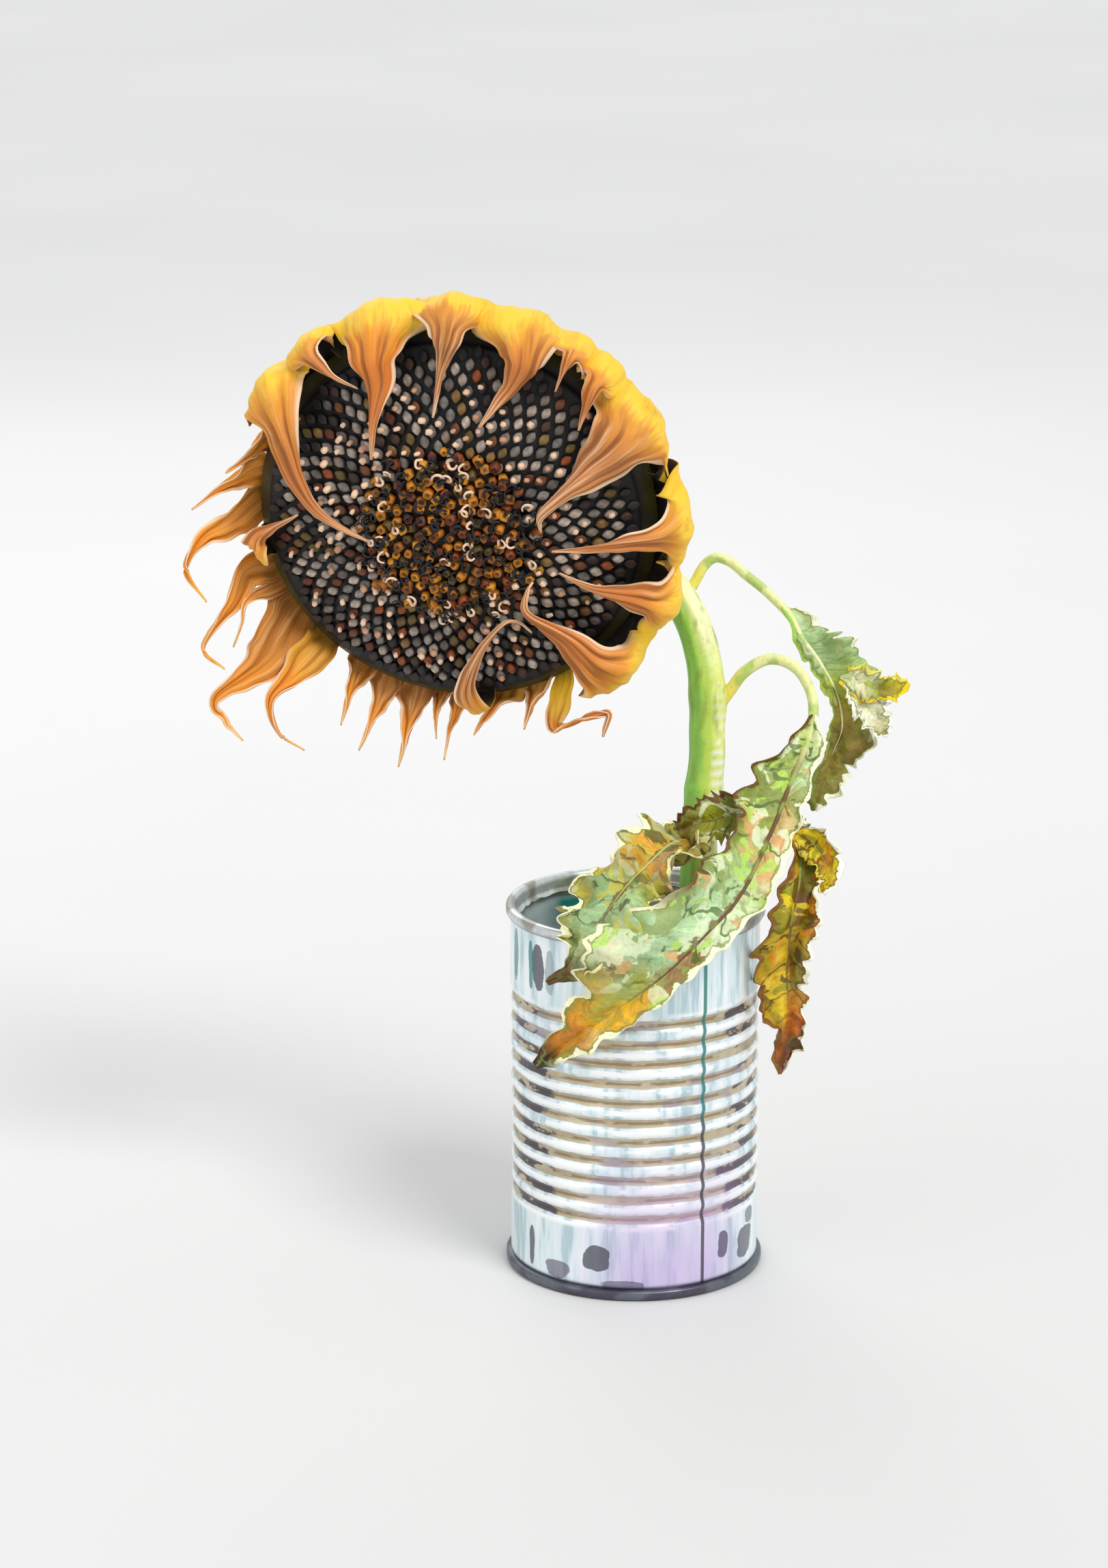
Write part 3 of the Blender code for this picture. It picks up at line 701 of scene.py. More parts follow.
def make_florets():
    """The middle of the face: curled amber floret tubes with dark curled styles, sunk a little."""
    rng = np.random.default_rng(5)
    shape = Shape()
    bed = [(0.01, -2), (FLORET_RADIUS, -2), (FLORET_RADIUS + 1.5, dome(24.5) - 1.6)]
    bed += [(r, dome(r) - 1.2 - 0.6 * (1 - r / 24)) for r in (20, 15, 10, 5, 0.01)]
    points, faces, _, _ = turned(bed, 60)
    # Painted shade: the dark bed shows in the gaps between the florets.
    shape.add(points, faces, tint=colour("1E0E06"))
    ambers = colours("C87D10", "D08A18", "B06A0E", "9A5A10", "E09A28", "8A4008", "6A2C08", "5E4A18")
    for n in range(int((28.5 / FLORET_SPACING) ** 2)):
        radius = FLORET_SPACING * math.sqrt(n + 0.5)
        if radius > FLORET_RADIUS - 1 and rng.uniform() > 0.45 * (29 - radius) / 6:
            continue
        angle = n * GOLDEN_ANGLE + rng.normal(0, 0.03)
        out, across = spokes(angle)
        centre = out * radius + np.array((0, 0, dome(radius) - 1.2 * max(0, 1 - radius / FLORET_RADIUS)))
        lean = out * rng.normal(0.15, 0.45) + across * rng.normal(0, 0.45)
        tall = rng.uniform(1.6, 2.9)
        fat = rng.uniform(0.9, 1.35)
        path = smooth_path([centre + (0, 0, -1.2), centre + (0, 0, 0.5 * tall) + lean * 0.3,
                            centre + (0, 0, tall) + lean * 1.2], 7)
        lobes = rng.integers(4, 6)

        def reach(s, a):
            swell = 0.7 + 0.5 * np.sin(np.clip(s * 2.9, 0, 3.1)) + 0.15 * s
            return fat * swell * (1 + 0.16 * s * np.cos(lobes * a))

        points, faces, along = tube(path, reach, 10, across)
        points[-1] -= unit(path[-1] - path[-2]) * 0.9
        base = ambers[min(len(ambers) - 1, int(rng.uniform(0, 1) ** 1.3 * len(ambers)))]
        # Painted shade: each floret darkens toward its foot, and its sunk mouth is near-black.
        tint = mix(base * 0.25, base, ease(along, 0.15, 0.65))
        tint[-1] = colour("140A06")
        shape.add(points, faces, tint=tint)
    for _ in range(STYLE_COUNT):
        radius = 27 * math.sqrt(rng.uniform(0.0, 1.0))
        angle = rng.uniform(0, 2 * math.pi)
        out, across = spokes(angle)
        level = dome(radius) - 1.1 * max(0, 1 - radius / FLORET_RADIUS) + 1.7
        centre = out * radius + np.array((0, 0, level))
        heading = rng.uniform(0, 2 * math.pi)
        way = out * math.cos(heading) + across * math.sin(heading)
        cross = -out * math.sin(heading) + across * math.cos(heading)
        bend = rng.uniform(1.2, 2.1)
        arc = [centre + (0, 0, -0.8) - way * 0.6]
        for k in range(6):
            t = k / 5
            sideways = (1 - math.cos(t * 2.9)) * bend * 0.8 - bend
            arc.append(centre + way * (math.sin(t * 2.9) * bend) + cross * sideways
                       + np.array((0, 0, 1.3 * math.sin(t * 2.4) + 0.2)))
        path = smooth_path(arc, 14)
        pale = rng.uniform() < 0.14
        thick = rng.uniform(0.36, 0.5) * (1.2 if pale else 1)
        points, faces, _ = tube(path, lambda s, a: thick * (1.15 - 0.6 * s), 6, (0, 0, 1))
        shape.add(points, faces, tint=colour("F0CBAA" if pale else "0C0A10"))
    material = tinted_material("dried_floret", 700, 0.3, 0.25, 0.25, roughness=0.55)
    shape.build("floret_cap_look", HEAD, material, "florets", "floret_cap")


# ---------------------------------------------------------------- the head's back

def make_receptacle():
    """The fleshy back of the head, with shallow ribs that run out to the petals."""
    outline = [
        (0.01, -30.5), (7, -30.4), (11, -29.2), (18, -27.8), (26, -26.4), (34, -24.4), (41, -21.4),
        (47, -17.6), (50.6, -14), (54, -10.8), (56.8, -8.4), (57, -6.2), (53, -3.4), (40, -2.6),
        (0.01, -2.6),
    ]
    profile = smooth_path([(r, z, 0) for r, z in outline[:12]], 60)[:, :2].tolist() + outline[12:]

    def wave(a):
        return np.cos(a * 21 + 0.6 * np.sin(a * 3))

    def ribs(z, a):
        return ease(-z, 5, 12) * (0.35 * wave(a) + 0.25 * np.sin(a * 8 + z * 0.2))

    points, faces, a, z = turned(profile, 180, ribs)
    lumps = cloud(points, 9, 4)
    r = np.linalg.norm(points[:, :2], axis=1)
    points[:, 2] -= ((lumps - 0.5) * 1.6 + 0.25 * np.cos(a * 21)) * ease(r, 8, 20) * (z < -12)
    tint = paint(
        "B8CC5A",
        ("8CB84B", ease(r, 8, 30)),
        ("D8C84A", ease(r, 40, 53) * 0.7),
        ("E6E8A8", 0.55 * ease(wave(a), 0.5, 1.0)),
        ("8A6A2A", 0.7 * ease(cloud(points, 14, 9), 0.58, 0.72)),
        # Painted shade: near-black at the top of the back, by the face's rim between the petals.
        ("1E120A", ease(z, -8.5, -5.5)),
    )
    material = tinted_material("receptacle_flesh", 500, 0.35, 0.3, 0.2, roughness=0.6)
    build_one("receptacle", HEAD, material, "receptacle", points, faces, tint=tint)


def make_bracts():
    """Pointed green bracts on the head's back, drying brown at their tips."""
    material = tinted_material("bract_skin", 600, 0.35, 0.3, 0.25, roughness=0.6)
    stops, breadth = [0, 0.2, 0.4, 0.65, 0.85, 1], [0.82, 0.98, 1, 0.62, 0.24, 0.03]
    for index in range(BRACT_COUNT):
        rng = np.random.default_rng(70 + index)
        angle = 360 / BRACT_COUNT * (index + 0.5)
        phase = rng.uniform(0, 6.28, 3)
        rows, columns = 34, 7
        way = [(36, -27.2), (42, -25.6), (48, -22.4), (52.5, -18.6), (55.4, -17 + rng.uniform(-1, 1)),
               (57.6 + rng.uniform(-1, 1), -20.5 + rng.uniform(-2, 1))]
        path = smooth_path([polar(r, angle + (r - 36) * 0.05 * math.sin(phase[0]), h) for r, h in way], rows)

        def half_width(along, side):
            teeth = 1 + 0.05 * np.sin(along * 31 + phase[1] + side)
            return 7.4 * np.interp(along, stops, breadth) * teeth

        def slope(along, out, side):
            curl = 0.5 * out**3 * np.sin(along * 11 + phase[2] + side)
            return 0.35 * out + curl + 0.25 * np.sin(out * 9) * out

        points, share, across, _ = ribbon(path, polar(1, angle + 90, 0), half_width, slope, columns)
        both, faces = slab(points, rows, 0.7 - 0.35 * np.abs(across))
        share, across = np.tile(share, 2), np.tile(across, 2)
        tint = paint(
            "7FA848",
            ("A9B85A", ease(share, 0.3, 0.7)),
            ("8A5A20", ease(share + 0.4 * (cloud(both, 6, index) - 0.5), 0.72, 0.95)),
            ("D8DCA0", 0.6 * bell(across, 0, 0.12) + 0.5 * ease(np.abs(across), 0.85, 1)),
        )
        build_one(f"bract_{index + 1:02d}", HEAD, material, "bract", both, faces, tint=tint)


# ---------------------------------------------------------------- stem and leaves

def make_stem():
    """A ribbed, hollow-cheeked stem that bends over at the top and flares into the head."""
    path = smooth_path(STEM_ROUTE, STEM_ROWS)

    def reach(s, a):
        flare = 1.6 * ease(s, 0.93, 1.0) + 0.5 * bell(s, 0.475, 0.012) + 0.6 * bell(s, 0.575, 0.014)
        ribs = 0.22 * np.cos(a * 9 + 1.2 * np.sin(s * 9)) + 0.1 * np.cos(a * 17 + s * 12)
        lumpy = 0.16 * np.sin(s * 61) * np.cos(a + s * 20) + 0.12 * np.sin(s * 113 + a)
        return STEM_RADIUS - 0.5 * s + flare + ribs + lumpy

    points, faces, along = tube(path, reach, 40, (1, 0, 0))
    row = (along * (STEM_ROWS - 1)).round().astype(int)
    x_out = points[:, 0] - path[row, 0]
    z = points[:, 2]
    grain = cloud(points * np.array([1, 1, 0.16]), 2.2, 2)
    bend_highlight_noise = cloud(points, 7, 6)
    scars = ease(np.sin(z * 1.9 + 3 * grain), 0.1, 0.5) * ease(x_out, 0.5, 2.5) * bell(z, 148, 18)
    # Painted light: green on the stem's left, yellow-green to pale cream toward its right, and a pale cream
    # painted highlight high on the bend. The pale scars are the stem's own.
    tint = paint(
        "8CC64B",
        ("C4DC58", ease(x_out + 5 * (grain - 0.5), -3, 1)),
        ("E6EC86", ease(x_out + 4 * (grain - 0.5), 0.5, 3.5) * 0.85),
        ("F8F8C8", 0.8 * ease(z + 10 * (bend_highlight_noise - 0.5), 172, 190) * ease(x_out, -2, 2)),
        ("7A9A30", 0.6 * ease(grain, 0.6, 0.72)),
        ("6E8A2A", 0.8 * ease(-z, -120, -60)),
        ("FAFAEC", 0.9 * scars),
    )
    material = tinted_material("stem_skin", 700, 0.3, 0.25, 0.18, roughness=0.5)
    build_one("stem", TIN, material, "stem", points, faces, tint=tint)


# Each leaf: its slot; stalk, the share of its route that is stalk; rib, its midrib's radius; faces, the way
# its upper side faces; fold and roll, its slope by the midrib and at the edge, to the left and to the right;
# how crumpled and how dry it is; spots, the strength of its patches; two colours; the route of its stalk and
# midrib; its half widths along the blade, to the left and right of the midrib as seen with its tip down; the
# colours along its body, its other half and its two edges; and the folded lobes that stand off it.
LEAVES = {
    "leaf_top": {
        "slot": "leaf", "stalk": 0.39, "rib": 1.35, "faces": (0.3, -0.95, 0.1), "fold": (0.2, 0.4),
        "roll": (0.9, -0.5), "crumple": 1.5, "dry": 0.15, "spots": 0.35,
        "margin": "8FC850", "midrib": "F8F8C4",
        "route": [
            (13, 25.6, 193), (17, 27.6, 198.5), (20, 29, 203.6), (23.5, 29, 206.2), (28, 29, 204.8),
            (32.5, 29, 201), (38, 29, 196.5), (45, 28, 189.5), (49, 26, 182.5), (54, 25, 176),
            (59, 24, 167), (61, 23, 157), (58, 22, 148), (53, 21, 132),
        ],
        "left": [(0, 1.2), (0.12, 3), (0.3, 4), (0.45, 3.4), (0.6, 5), (0.8, 5.4), (0.95, 3.8), (1, 1)],
        "right": [
            (0, 1.2), (0.08, 7), (0.2, 12), (0.34, 15), (0.46, 16), (0.56, 12), (0.7, 8), (0.85, 7), (1, 1),
        ],
        "body": [
            (0, "D8EC90"), (0.1, "A9C890"), (0.3, "9DBB78"), (0.42, "B8C848"), (0.52, "A0A214"),
            (0.62, "7A6A18"), (0.8, "8A7A1C"), (1, "6B6A14"),
        ],
        "edges": ([(0, "9BD24A"), (0.5, "A8B850"), (1, "6B6A14")], [(0, "F8F8D8")]),
        "lobes": [
            {
                "faces": (0.1, -0.95, 0.3),
                "route": [(60, 22, 172), (66, 19, 171), (71, 17, 169), (75.5, 16, 170), (79.4, 16, 172)],
                "widths": [(0, 3), (0.25, 6), (0.55, 4.6), (0.8, 4.2), (1, 1.2)],
                "body": [(0, "DCE8A0"), (0.35, "F2F2C8"), (0.55, "8A8A2A"), (0.8, "B8A820"), (1, "F0DA20")],
                "edges": ([(0, "F5D60A")], [(0, "F5E460")]),
            },
            {
                "faces": (0.3, -0.95, 0.1),
                "route": [(62, 22, 171), (67, 18, 165), (71, 16, 160), (74, 16, 156)],
                "widths": [(0, 3), (0.4, 6.4), (0.75, 4.6), (1, 1)],
                "body": [(0, "F2F2D0"), (0.5, "FAFAE0"), (0.8, "D8D8A0"), (1, "8A6A2A")],
                "edges": ([(0, "FAFAE8")], [(0, "FFFFF4")]),
            },
        ],
    },
    "leaf_front": {
        "slot": "leaf", "stalk": 0.25, "rib": 1.5, "faces": (0.1, -1, 0.25), "fold": (0.2, 0.5),
        "roll": (0.5, -0.9), "crumple": 1.5, "dry": 0, "margin": "7E8A1C", "midrib": "6B4A20",
        "route": [
            (23, 17.4, 163), (28, 17, 169.5), (32, 16, 175), (39, 15, 179), (46, 12, 177.5),
            (50.4, 9, 171.7), (51.5, 6, 165), (49.5, 2, 157), (43.5, -9, 146), (39, -17, 137),
            (30, -33, 123), (21, -43, 115), (7, -47, 102), (-12, -45.5, 87), (-29, -41, 73),
        ],
        "left": [
            (0, 1.5), (0.05, 6), (0.14, 12), (0.26, 15), (0.38, 14), (0.46, 16), (0.55, 22), (0.63, 25),
            (0.7, 23), (0.77, 13), (0.84, 9), (0.92, 6), (1, 0.8),
        ],
        "right": [
            (0, 1.5), (0.05, 6), (0.17, 7), (0.3, 8), (0.42, 8), (0.52, 7), (0.6, 6), (0.72, 7), (0.84, 7),
            (0.93, 4.5), (1, 0.8),
        ],
        "body": [
            (0, "D8E48C"), (0.08, "A8BC60"), (0.2, "7E8A28"), (0.32, "9AA848"), (0.42, "B4D49A"),
            (0.56, "BFE0A8"), (0.67, "9CBC88"), (0.73, "A8A840"), (0.78, "D8A818"), (0.87, "E08A10"),
            (0.93, "8A5A14"), (0.97, "3A2E12"), (1, "2E2610"),
        ],
        "other": [
            (0, "E6F0A0"), (0.1, "B8D498"), (0.24, "D8B878"), (0.36, "E0B070"), (0.44, "C8DCA0"),
            (0.52, "D8E4B8"), (0.58, "8F6C3C"), (0.67, "A88050"), (0.71, "E0A828"), (0.8, "F0B820"),
            (0.89, "C88A18"), (0.95, "5E3C12"), (1, "3A2E12"),
        ],
        "edges": (
            [
                (0, "6B4708"), (0.5, "6B4708"), (0.56, "F4F0C4"), (0.8, "F4F0C4"), (0.86, "FAF4C8"),
                (0.95, "5E3C12"), (1, "2E2610"),
            ],
            [(0, "FAFAD2"), (0.92, "FAFAD2"), (0.97, "3A2E12")],
        ),
        "lobes": [
            {
                "faces": (0, -0.95, 0.3),
                "route": [(38, -6, 143), (30, -8, 139.5), (23, -8.5, 137), (17, -8, 135.5), (12, -6, 133)],
                "widths": [(0, 2), (0.25, 7.5), (0.5, 8), (0.75, 6), (0.92, 3.5), (1, 0.8)],
                "body": [(0, "8A8A1C"), (0.3, "6B6A14"), (0.6, "A0A214"), (0.85, "7A6A18"), (1, "6B4708")],
                "edges": ([(0, "6B4708")], [(0, "8A7A2C")]),
            },
        ],
    },
    "leaf_rim": {
        "slot": "leaf", "stalk": 0.08, "rib": 1.2, "faces": (-0.35, -0.7, 0.6), "fold": (0.1, 0.15),
        "roll": (0.9, 0.3), "crumple": 2.6, "dry": 0.45, "margin": "B8B040", "midrib": "C8C878",
        "route": [
            (18.5, 11, 121), (17.5, 4, 125.5), (14.5, -2, 128.5), (9.5, -10, 129.5), (4, -20, 127.5),
            (-3, -31, 123.5), (-9, -41, 118), (-15, -43.5, 108), (-25, -42, 98),
        ],
        "left": [
            (0, 4), (0.1, 9), (0.22, 13), (0.38, 12), (0.5, 15), (0.62, 17), (0.74, 13), (0.86, 6),
            (1, 0.8),
        ],
        "right": [
            (0, 5), (0.1, 13), (0.25, 17), (0.4, 18), (0.55, 18), (0.68, 16), (0.8, 10), (0.9, 4), (1, 0.8),
        ],
        "body": [
            (0, "7A7A1C"), (0.12, "C8B830"), (0.24, "E8A428"), (0.34, "D8C040"), (0.44, "C88818"),
            (0.54, "8FAF70"), (0.7, "A9C890"), (0.84, "B4C080"), (0.9, "7A5A2A"), (1, "3C3014"),
        ],
        "other": [
            (0, "6B6A14"), (0.14, "C08820"), (0.26, "8A8A24"), (0.38, "E09A20"), (0.48, "5C6A20"),
            (0.58, "B0C878"), (0.7, "A2BE8A"), (0.84, "8CA870"), (0.9, "7A5A2A"), (1, "3C3014"),
        ],
        "edges": (
            [(0, "F8F6CC"), (0.85, "F8F6CC"), (0.92, "5E4414")],
            [(0, "E8E0A0"), (0.85, "E8E0A0"), (0.92, "5E4414")],
        ),
        "lobes": [],
    },
    "leaf_side": {
        "slot": "dry_leaf", "stalk": 0.22, "rib": 1.2, "faces": (0.35, -0.9, 0.1), "fold": (0.35, 0.5),
        "roll": (0.7, 0.9), "crumple": 2.3, "dry": 1, "margin": "8A5A14", "midrib": "7A5A1C",
        "route": [
            (20.5, 14.5, 125), (26.5, 17, 129.5), (33, 17.5, 131.5), (42, 12, 130.5), (47.5, 5, 126),
            (47.5, -3, 117), (45, -9, 106), (44, -10, 92), (44.5, -9, 76), (42, -8, 60),
        ],
        "left": [
            (0, 1.4), (0.08, 5), (0.2, 7), (0.35, 9), (0.5, 12), (0.66, 13), (0.78, 8), (0.9, 5), (1, 0.8),
        ],
        "right": [
            (0, 1.4), (0.06, 7), (0.16, 11), (0.26, 8), (0.4, 10), (0.52, 8), (0.64, 6), (0.76, 6),
            (0.88, 7), (1, 0.8),
        ],
        "body": [
            (0, "D8B818"), (0.1, "F0CC10"), (0.2, "C8A818"), (0.3, "A0A214"), (0.45, "A89814"),
            (0.6, "D8B018"), (0.74, "E0C018"), (0.84, "B8640E"), (1, "7A3A0C"),
        ],
        "other": [
            (0, "F0D010"), (0.12, "F5D60A"), (0.22, "8A8A1C"), (0.34, "6B4A10"), (0.46, "B8981A"),
            (0.58, "5E4410"), (0.7, "C88A18"), (0.8, "C8640E"), (0.9, "4A3A14"), (1, "8A3C0C"),
        ],
        "edges": ([(0, "8A5A14")], [(0, "FAFAE0"), (0.9, "FAFAE0"), (1, "8A3C0C")]),
        "lobes": [
            {
                "faces": (0.1, -0.95, 0.25),
                "route": [(43, 8, 129), (48, 3, 129), (53, -1, 126), (56, -3, 120), (54, -5, 114)],
                "widths": [(0, 3), (0.35, 6.5), (0.7, 5.5), (1, 1.4)],
                "body": [(0, "B88A10"), (0.3, "F5D60A"), (0.7, "F8E020"), (1, "F5D60A")],
                "edges": ([(0, "F8E45A")], [(0, "FFFFF0")]),
            },
        ],
    },
}


RIB_ROWS = 240
BLADE_ROWS = 150
LOBE_ROWS = 40
LOBE_LOOK = {"fold": (0.3, 0.3), "roll": (0.8, 0.6)}


def stops_colour(stops, value):
    """Colours along a list of (share, hex) stops."""
    places = [s for s, _ in stops]
    table = np.array([colour(c) for _, c in stops])
    return np.stack([np.interp(value, places, table[:, i]) for i in range(3)], axis=1)


def leaf_blade(shape, path, look, left, right, columns, veins, seed):
    """One crumpled blade along a path: quilted between its side veins, with a toothed, rolled edge."""
    rng = np.random.default_rng(seed)
    rows = len(path)
    ahead = unit(np.gradient(path, axis=0))
    hint = np.cross(ahead, unit(np.array(look["faces"], float)))
    phase = rng.uniform(0, 6.28, 8)
    fold, roll = look["fold"], look["roll"]

    def half_width(along, side):
        stops, widths = zip(*(left if side > 0 else right))
        tooth = np.abs((along * (9 if side > 0 else 12) + 0.6 * np.sin(along * 11 + phase[0])) % 1 - 0.5) * 2
        ragged = 0.09 * np.sin(along * 71 + phase[1] + side)
        jag = 1 + 0.2 * (tooth - 0.5) + ragged + 0.06 * np.sin(along * 131 + phase[6])
        return np.interp(along, stops, widths) * jag

    def slope(along, out, side):
        base = fold[0 if side > 0 else 1] * (1 + 0.5 * np.sin(along * 6 + phase[2] + side))
        rolled = roll[0 if side > 0 else 1] * out**3 * (0.7 + 0.6 * np.sin(along * 9 + phase[3] * side))
        pleat = 0.55 * look["crumple"] * np.sin(out * 6.5 + along * 7 + phase[4] + side) * out
        ruffle = 0.7 * out**2 * np.sin(along * 30 + phase[5] + 2 * side)
        return base + rolled + pleat + ruffle

    points, share, across, up = ribbon(path, hint, half_width, slope, columns, 0.0, 0.45)
    out = np.abs(across)
    vein = share * veins + 0.15 * np.sin(out * 5 + phase[6]) + 40.0
    gap = np.abs(vein % 1 - 0.5) * 2
    quilt = (1 - gap**2) * 0.9 * np.sin(np.clip(out * 1.15, 0, 1) * math.pi) * ease(out, 0.02, 0.25)
    broad, fine = cloud(points, 9, seed) - 0.5, cloud(points, 4, seed + 1) - 0.5
    crumple = look["crumple"] * (broad * 3.2 + fine * 1.2)
    points = points + up * (quilt * 0.9 + crumple * ease(out, 0.0, 0.4))[:, None]
    thick = np.interp(out, [0, 0.1, 1], [0.8, 0.5, 0.28])
    both, faces = slab(points, rows, thick)
    share, across, out, vein = (np.tile(v, 2) for v in (share, across, out, vein))
    place = np.clip(share + 0.16 * (cloud(both, 9, seed + 3) - 0.5), 0, 1)
    half = ease(across + 0.5 * (cloud(both, 7, seed + 9) - 0.5), -0.12, 0.12)
    margin = ease(out + 0.5 * (cloud(both, 6, seed + 7) - 0.5), 0.62, 0.85) * (across > 0)
    tint = paint(
        stops_colour(look.get("other", look["body"]), place),
        (stops_colour(look["body"], place), half),
        (look["margin"], 0.6 * margin),
    )
    lower = np.arange(len(both)) >= len(both) // 2
    tint = mix(tint, tint * 0.6 + colour("D8DCA8") * 0.4, 0.6 * lower)
    left_edge, right_edge = (stops_colour(stops, share) for stops in look["edges"])
    edge = np.where(across[:, None] > 0, left_edge, right_edge)
    brink = (1 - out) * np.where(across > 0, half_width(share, 1), half_width(share, -1))
    spots = look.get("spots", 1.0) * (1 - 0.6 * ease(share, 0.66, 0.76) - 0.4 * ease(share, 0.8, 0.92))
    shape.add(both, faces, tint=tint, edge=edge, across=across, brink=brink, vein=vein, blade=spots,
              dry=look["dry"])


def make_leaf(name, leaf, material, seed):
    """A leaf: its stalk and midrib as one tapering tube, its blade, and its folded lobes."""
    shape = Shape()
    path = smooth_path(leaf["route"], RIB_ROWS)
    stalk = leaf["stalk"]

    def reach(s, a):
        taper = np.interp(s, [0, 0.05, stalk, min(1, stalk + 0.12), 1], [1.5, 1.15, 1, 0.62, 0.16])
        groove = 1 - 0.16 * np.exp(-((a - 1.57) / 0.5) ** 2)
        return leaf["rib"] * taper * groove * (1 + 0.06 * np.cos(a * 5))

    points, faces, along = tube(path, reach, 12, (0, 0, 1))
    beyond = np.clip((along - stalk) / (1 - stalk), 0, 1)
    tint = paint(
        "EEF2A8",
        (leaf["midrib"], ease(along, stalk, stalk + 0.15)),
        ("F0DC30", 0.8 * ease(stalk * 0.35 - along, -0.03, 0.06)),
        ("A8CC58", 0.7 * ease(cloud(points, 5, seed), 0.55, 0.65) * (1 - beyond)),
        (stops_colour(leaf["body"], beyond), ease(beyond, 0.7, 0.95)),
    )
    shape.add(points, faces, tint=tint, edge=tint, across=0.0, brink=9.0, vein=0.5, blade=0.0,
              dry=leaf["dry"])
    blade = path[int(stalk * (RIB_ROWS - 1)):]
    blade = smooth_path(blade[::6].tolist() + [blade[-1].tolist()], BLADE_ROWS)
    leaf_blade(shape, blade, leaf, leaf["left"], leaf["right"], 20, 10, seed)
    for k, lobe in enumerate(leaf["lobes"]):
        look = {**leaf, **lobe, **LOBE_LOOK, "margin": lobe["body"][1][1], "other": lobe["body"]}
        path = smooth_path(lobe["route"], LOBE_ROWS)
        leaf_blade(shape, path, look, lobe["widths"], lobe["widths"], 9, 5, seed + 40 + k)
    shape.build(name + "_look", TIN, material, leaf["slot"], name)


def leaf_material():
    """A wilting blade: dark curved side veins, patches where it has turned, and an edge of another colour."""
    n = Nodes("wilted_leaf", 0.56)
    place = n.place()
    across, brink, vein, blade, dry = (n.number(name) for name in ("across", "brink", "vein", "blade", "dry"))
    out = n.size(across)
    warp = n.noise(place, 330.0, 3.0, 0.6)
    base = n.tint()
    strands = n.vector(n.times(vein, 2.6), n.times(across, 1.1), 0.0)
    strand = n.noise(strands, 2.2, 4.0, 0.7, 0.5)
    shade = n.ramp(strand, (0.34, 0.62), (0.46, 0.92), (0.56, 1.0), (0.66, 1.25))
    base = n.blend(base, shade, 1.0, "MULTIPLY")
    for shift, scale, low, strength, green, brown in (
        (0.0, 62.0, 0.56, 0.8, "E0A868", "6B4708"),
        (0.23, 70.0, 0.57, 0.75, "8FA050", "F5D60A"),
        (0.67, 85.0, 0.56, 0.75, "E4EEC4", "8A8A1C"),
        (0.93, 95.0, 0.59, 0.8, "B4DC54", "E08A18"),
        (1.31, 130.0, 0.62, 0.8, "4E6424", "3A2E10"),
    ):
        moved = n.add("ShaderNodeMapping", Vector=place, Location=(shift, shift, -shift)).outputs[0]
        patch = n.rise(n.noise(moved, scale, 3.0, 0.55, 0.9), low, low + 0.02)
        share = n.times(patch, blade, strength)
        base = n.blend(base, n.blend(green, brown, dry), share)
    bend = n.noise(place, 120.0, 2.0)
    gap = n.plus(vein, n.swing(bend, 1.3))
    gap = n.plus(n.math("PINGPONG", gap, 0.5), n.swing(warp, 0.06))
    line = n.fall(gap, 0.035, 0.065)
    line = n.times(line, n.ramp(out, (0.03, 0.0), (0.07, 1.0), (0.7, 1.0), (0.86, 0.0)))
    line = n.times(line, n.times(blade, n.rise(n.noise(place, 85.0, 2.0), 0.42, 0.5)))
    base = n.blend(base, n.blend("4E6A1E", "5A3A0A", dry), n.times(line, 0.85))
    middle = n.plus(out, n.swing(n.noise(place, 260.0, 2.0), 0.28))
    middle = n.times(n.fall(middle, 0.035, 0.06), blade)
    base = n.blend(base, "6B4A20", n.times(middle, 0.8))
    ragged = n.plus(warp, n.swing(n.noise(place, 190.0, 2.0), 1.2))
    brink = n.over(n.minus(brink, n.swing(ragged, 4.0)), 5.0)
    inset = n.ramp(brink, (0.24, 0.0), (0.28, 1.0), (0.4, 1.0), (0.46, 0.0))
    base = n.blend(base, n.blend("7C8A3C", "6B4210", dry), n.times(inset, 0.7))
    base = n.blend(base, n.tint("edge"), n.fall(brink, 0.25, 0.28))
    speck = n.noise(place, 900.0, 2.0)
    base = n.blend(base, n.ramp(speck, (0.35, 0.82), (0.5, 1.0)), 0.7, "MULTIPLY")
    relief = n.plus(n.times(strand, 0.8), n.times(warp, 0.5))
    relief = n.minus(relief, n.times(line, 0.6))
    return n.done(base, relief, 0.6, 0.6)


def make_leaves():
    material = leaf_material()
    for k, (name, leaf) in enumerate(LEAVES.items()):
        make_leaf(name, leaf, material, 200 + 10 * k)


# ---------------------------------------------------------------- the tin

TIN_HEIGHT = 110.0
WALL_RADIUS = 36.5
WALL_STEPS = 220
SHEET = 0.35
FIRST_VALLEY = 24.3
BEAD_PITCH = 5.9
# The side seam's angle from X, and from the front (radians).
SEAM_ANGLE = math.radians(-58)
SEAM_FROM_FRONT = 0.559


def bead_radius(z):
    """The wall's outer radius, with eleven rounded beads rolled into it."""
    phase = (z - FIRST_VALLEY) / BEAD_PITCH
    inside = ease(z, 20.6, 22.2) * (1 - ease(z, 85.4, 87.0))
    return WALL_RADIUS - 0.9 * inside * (0.5 + 0.5 * np.cos(2 * math.pi * phase))
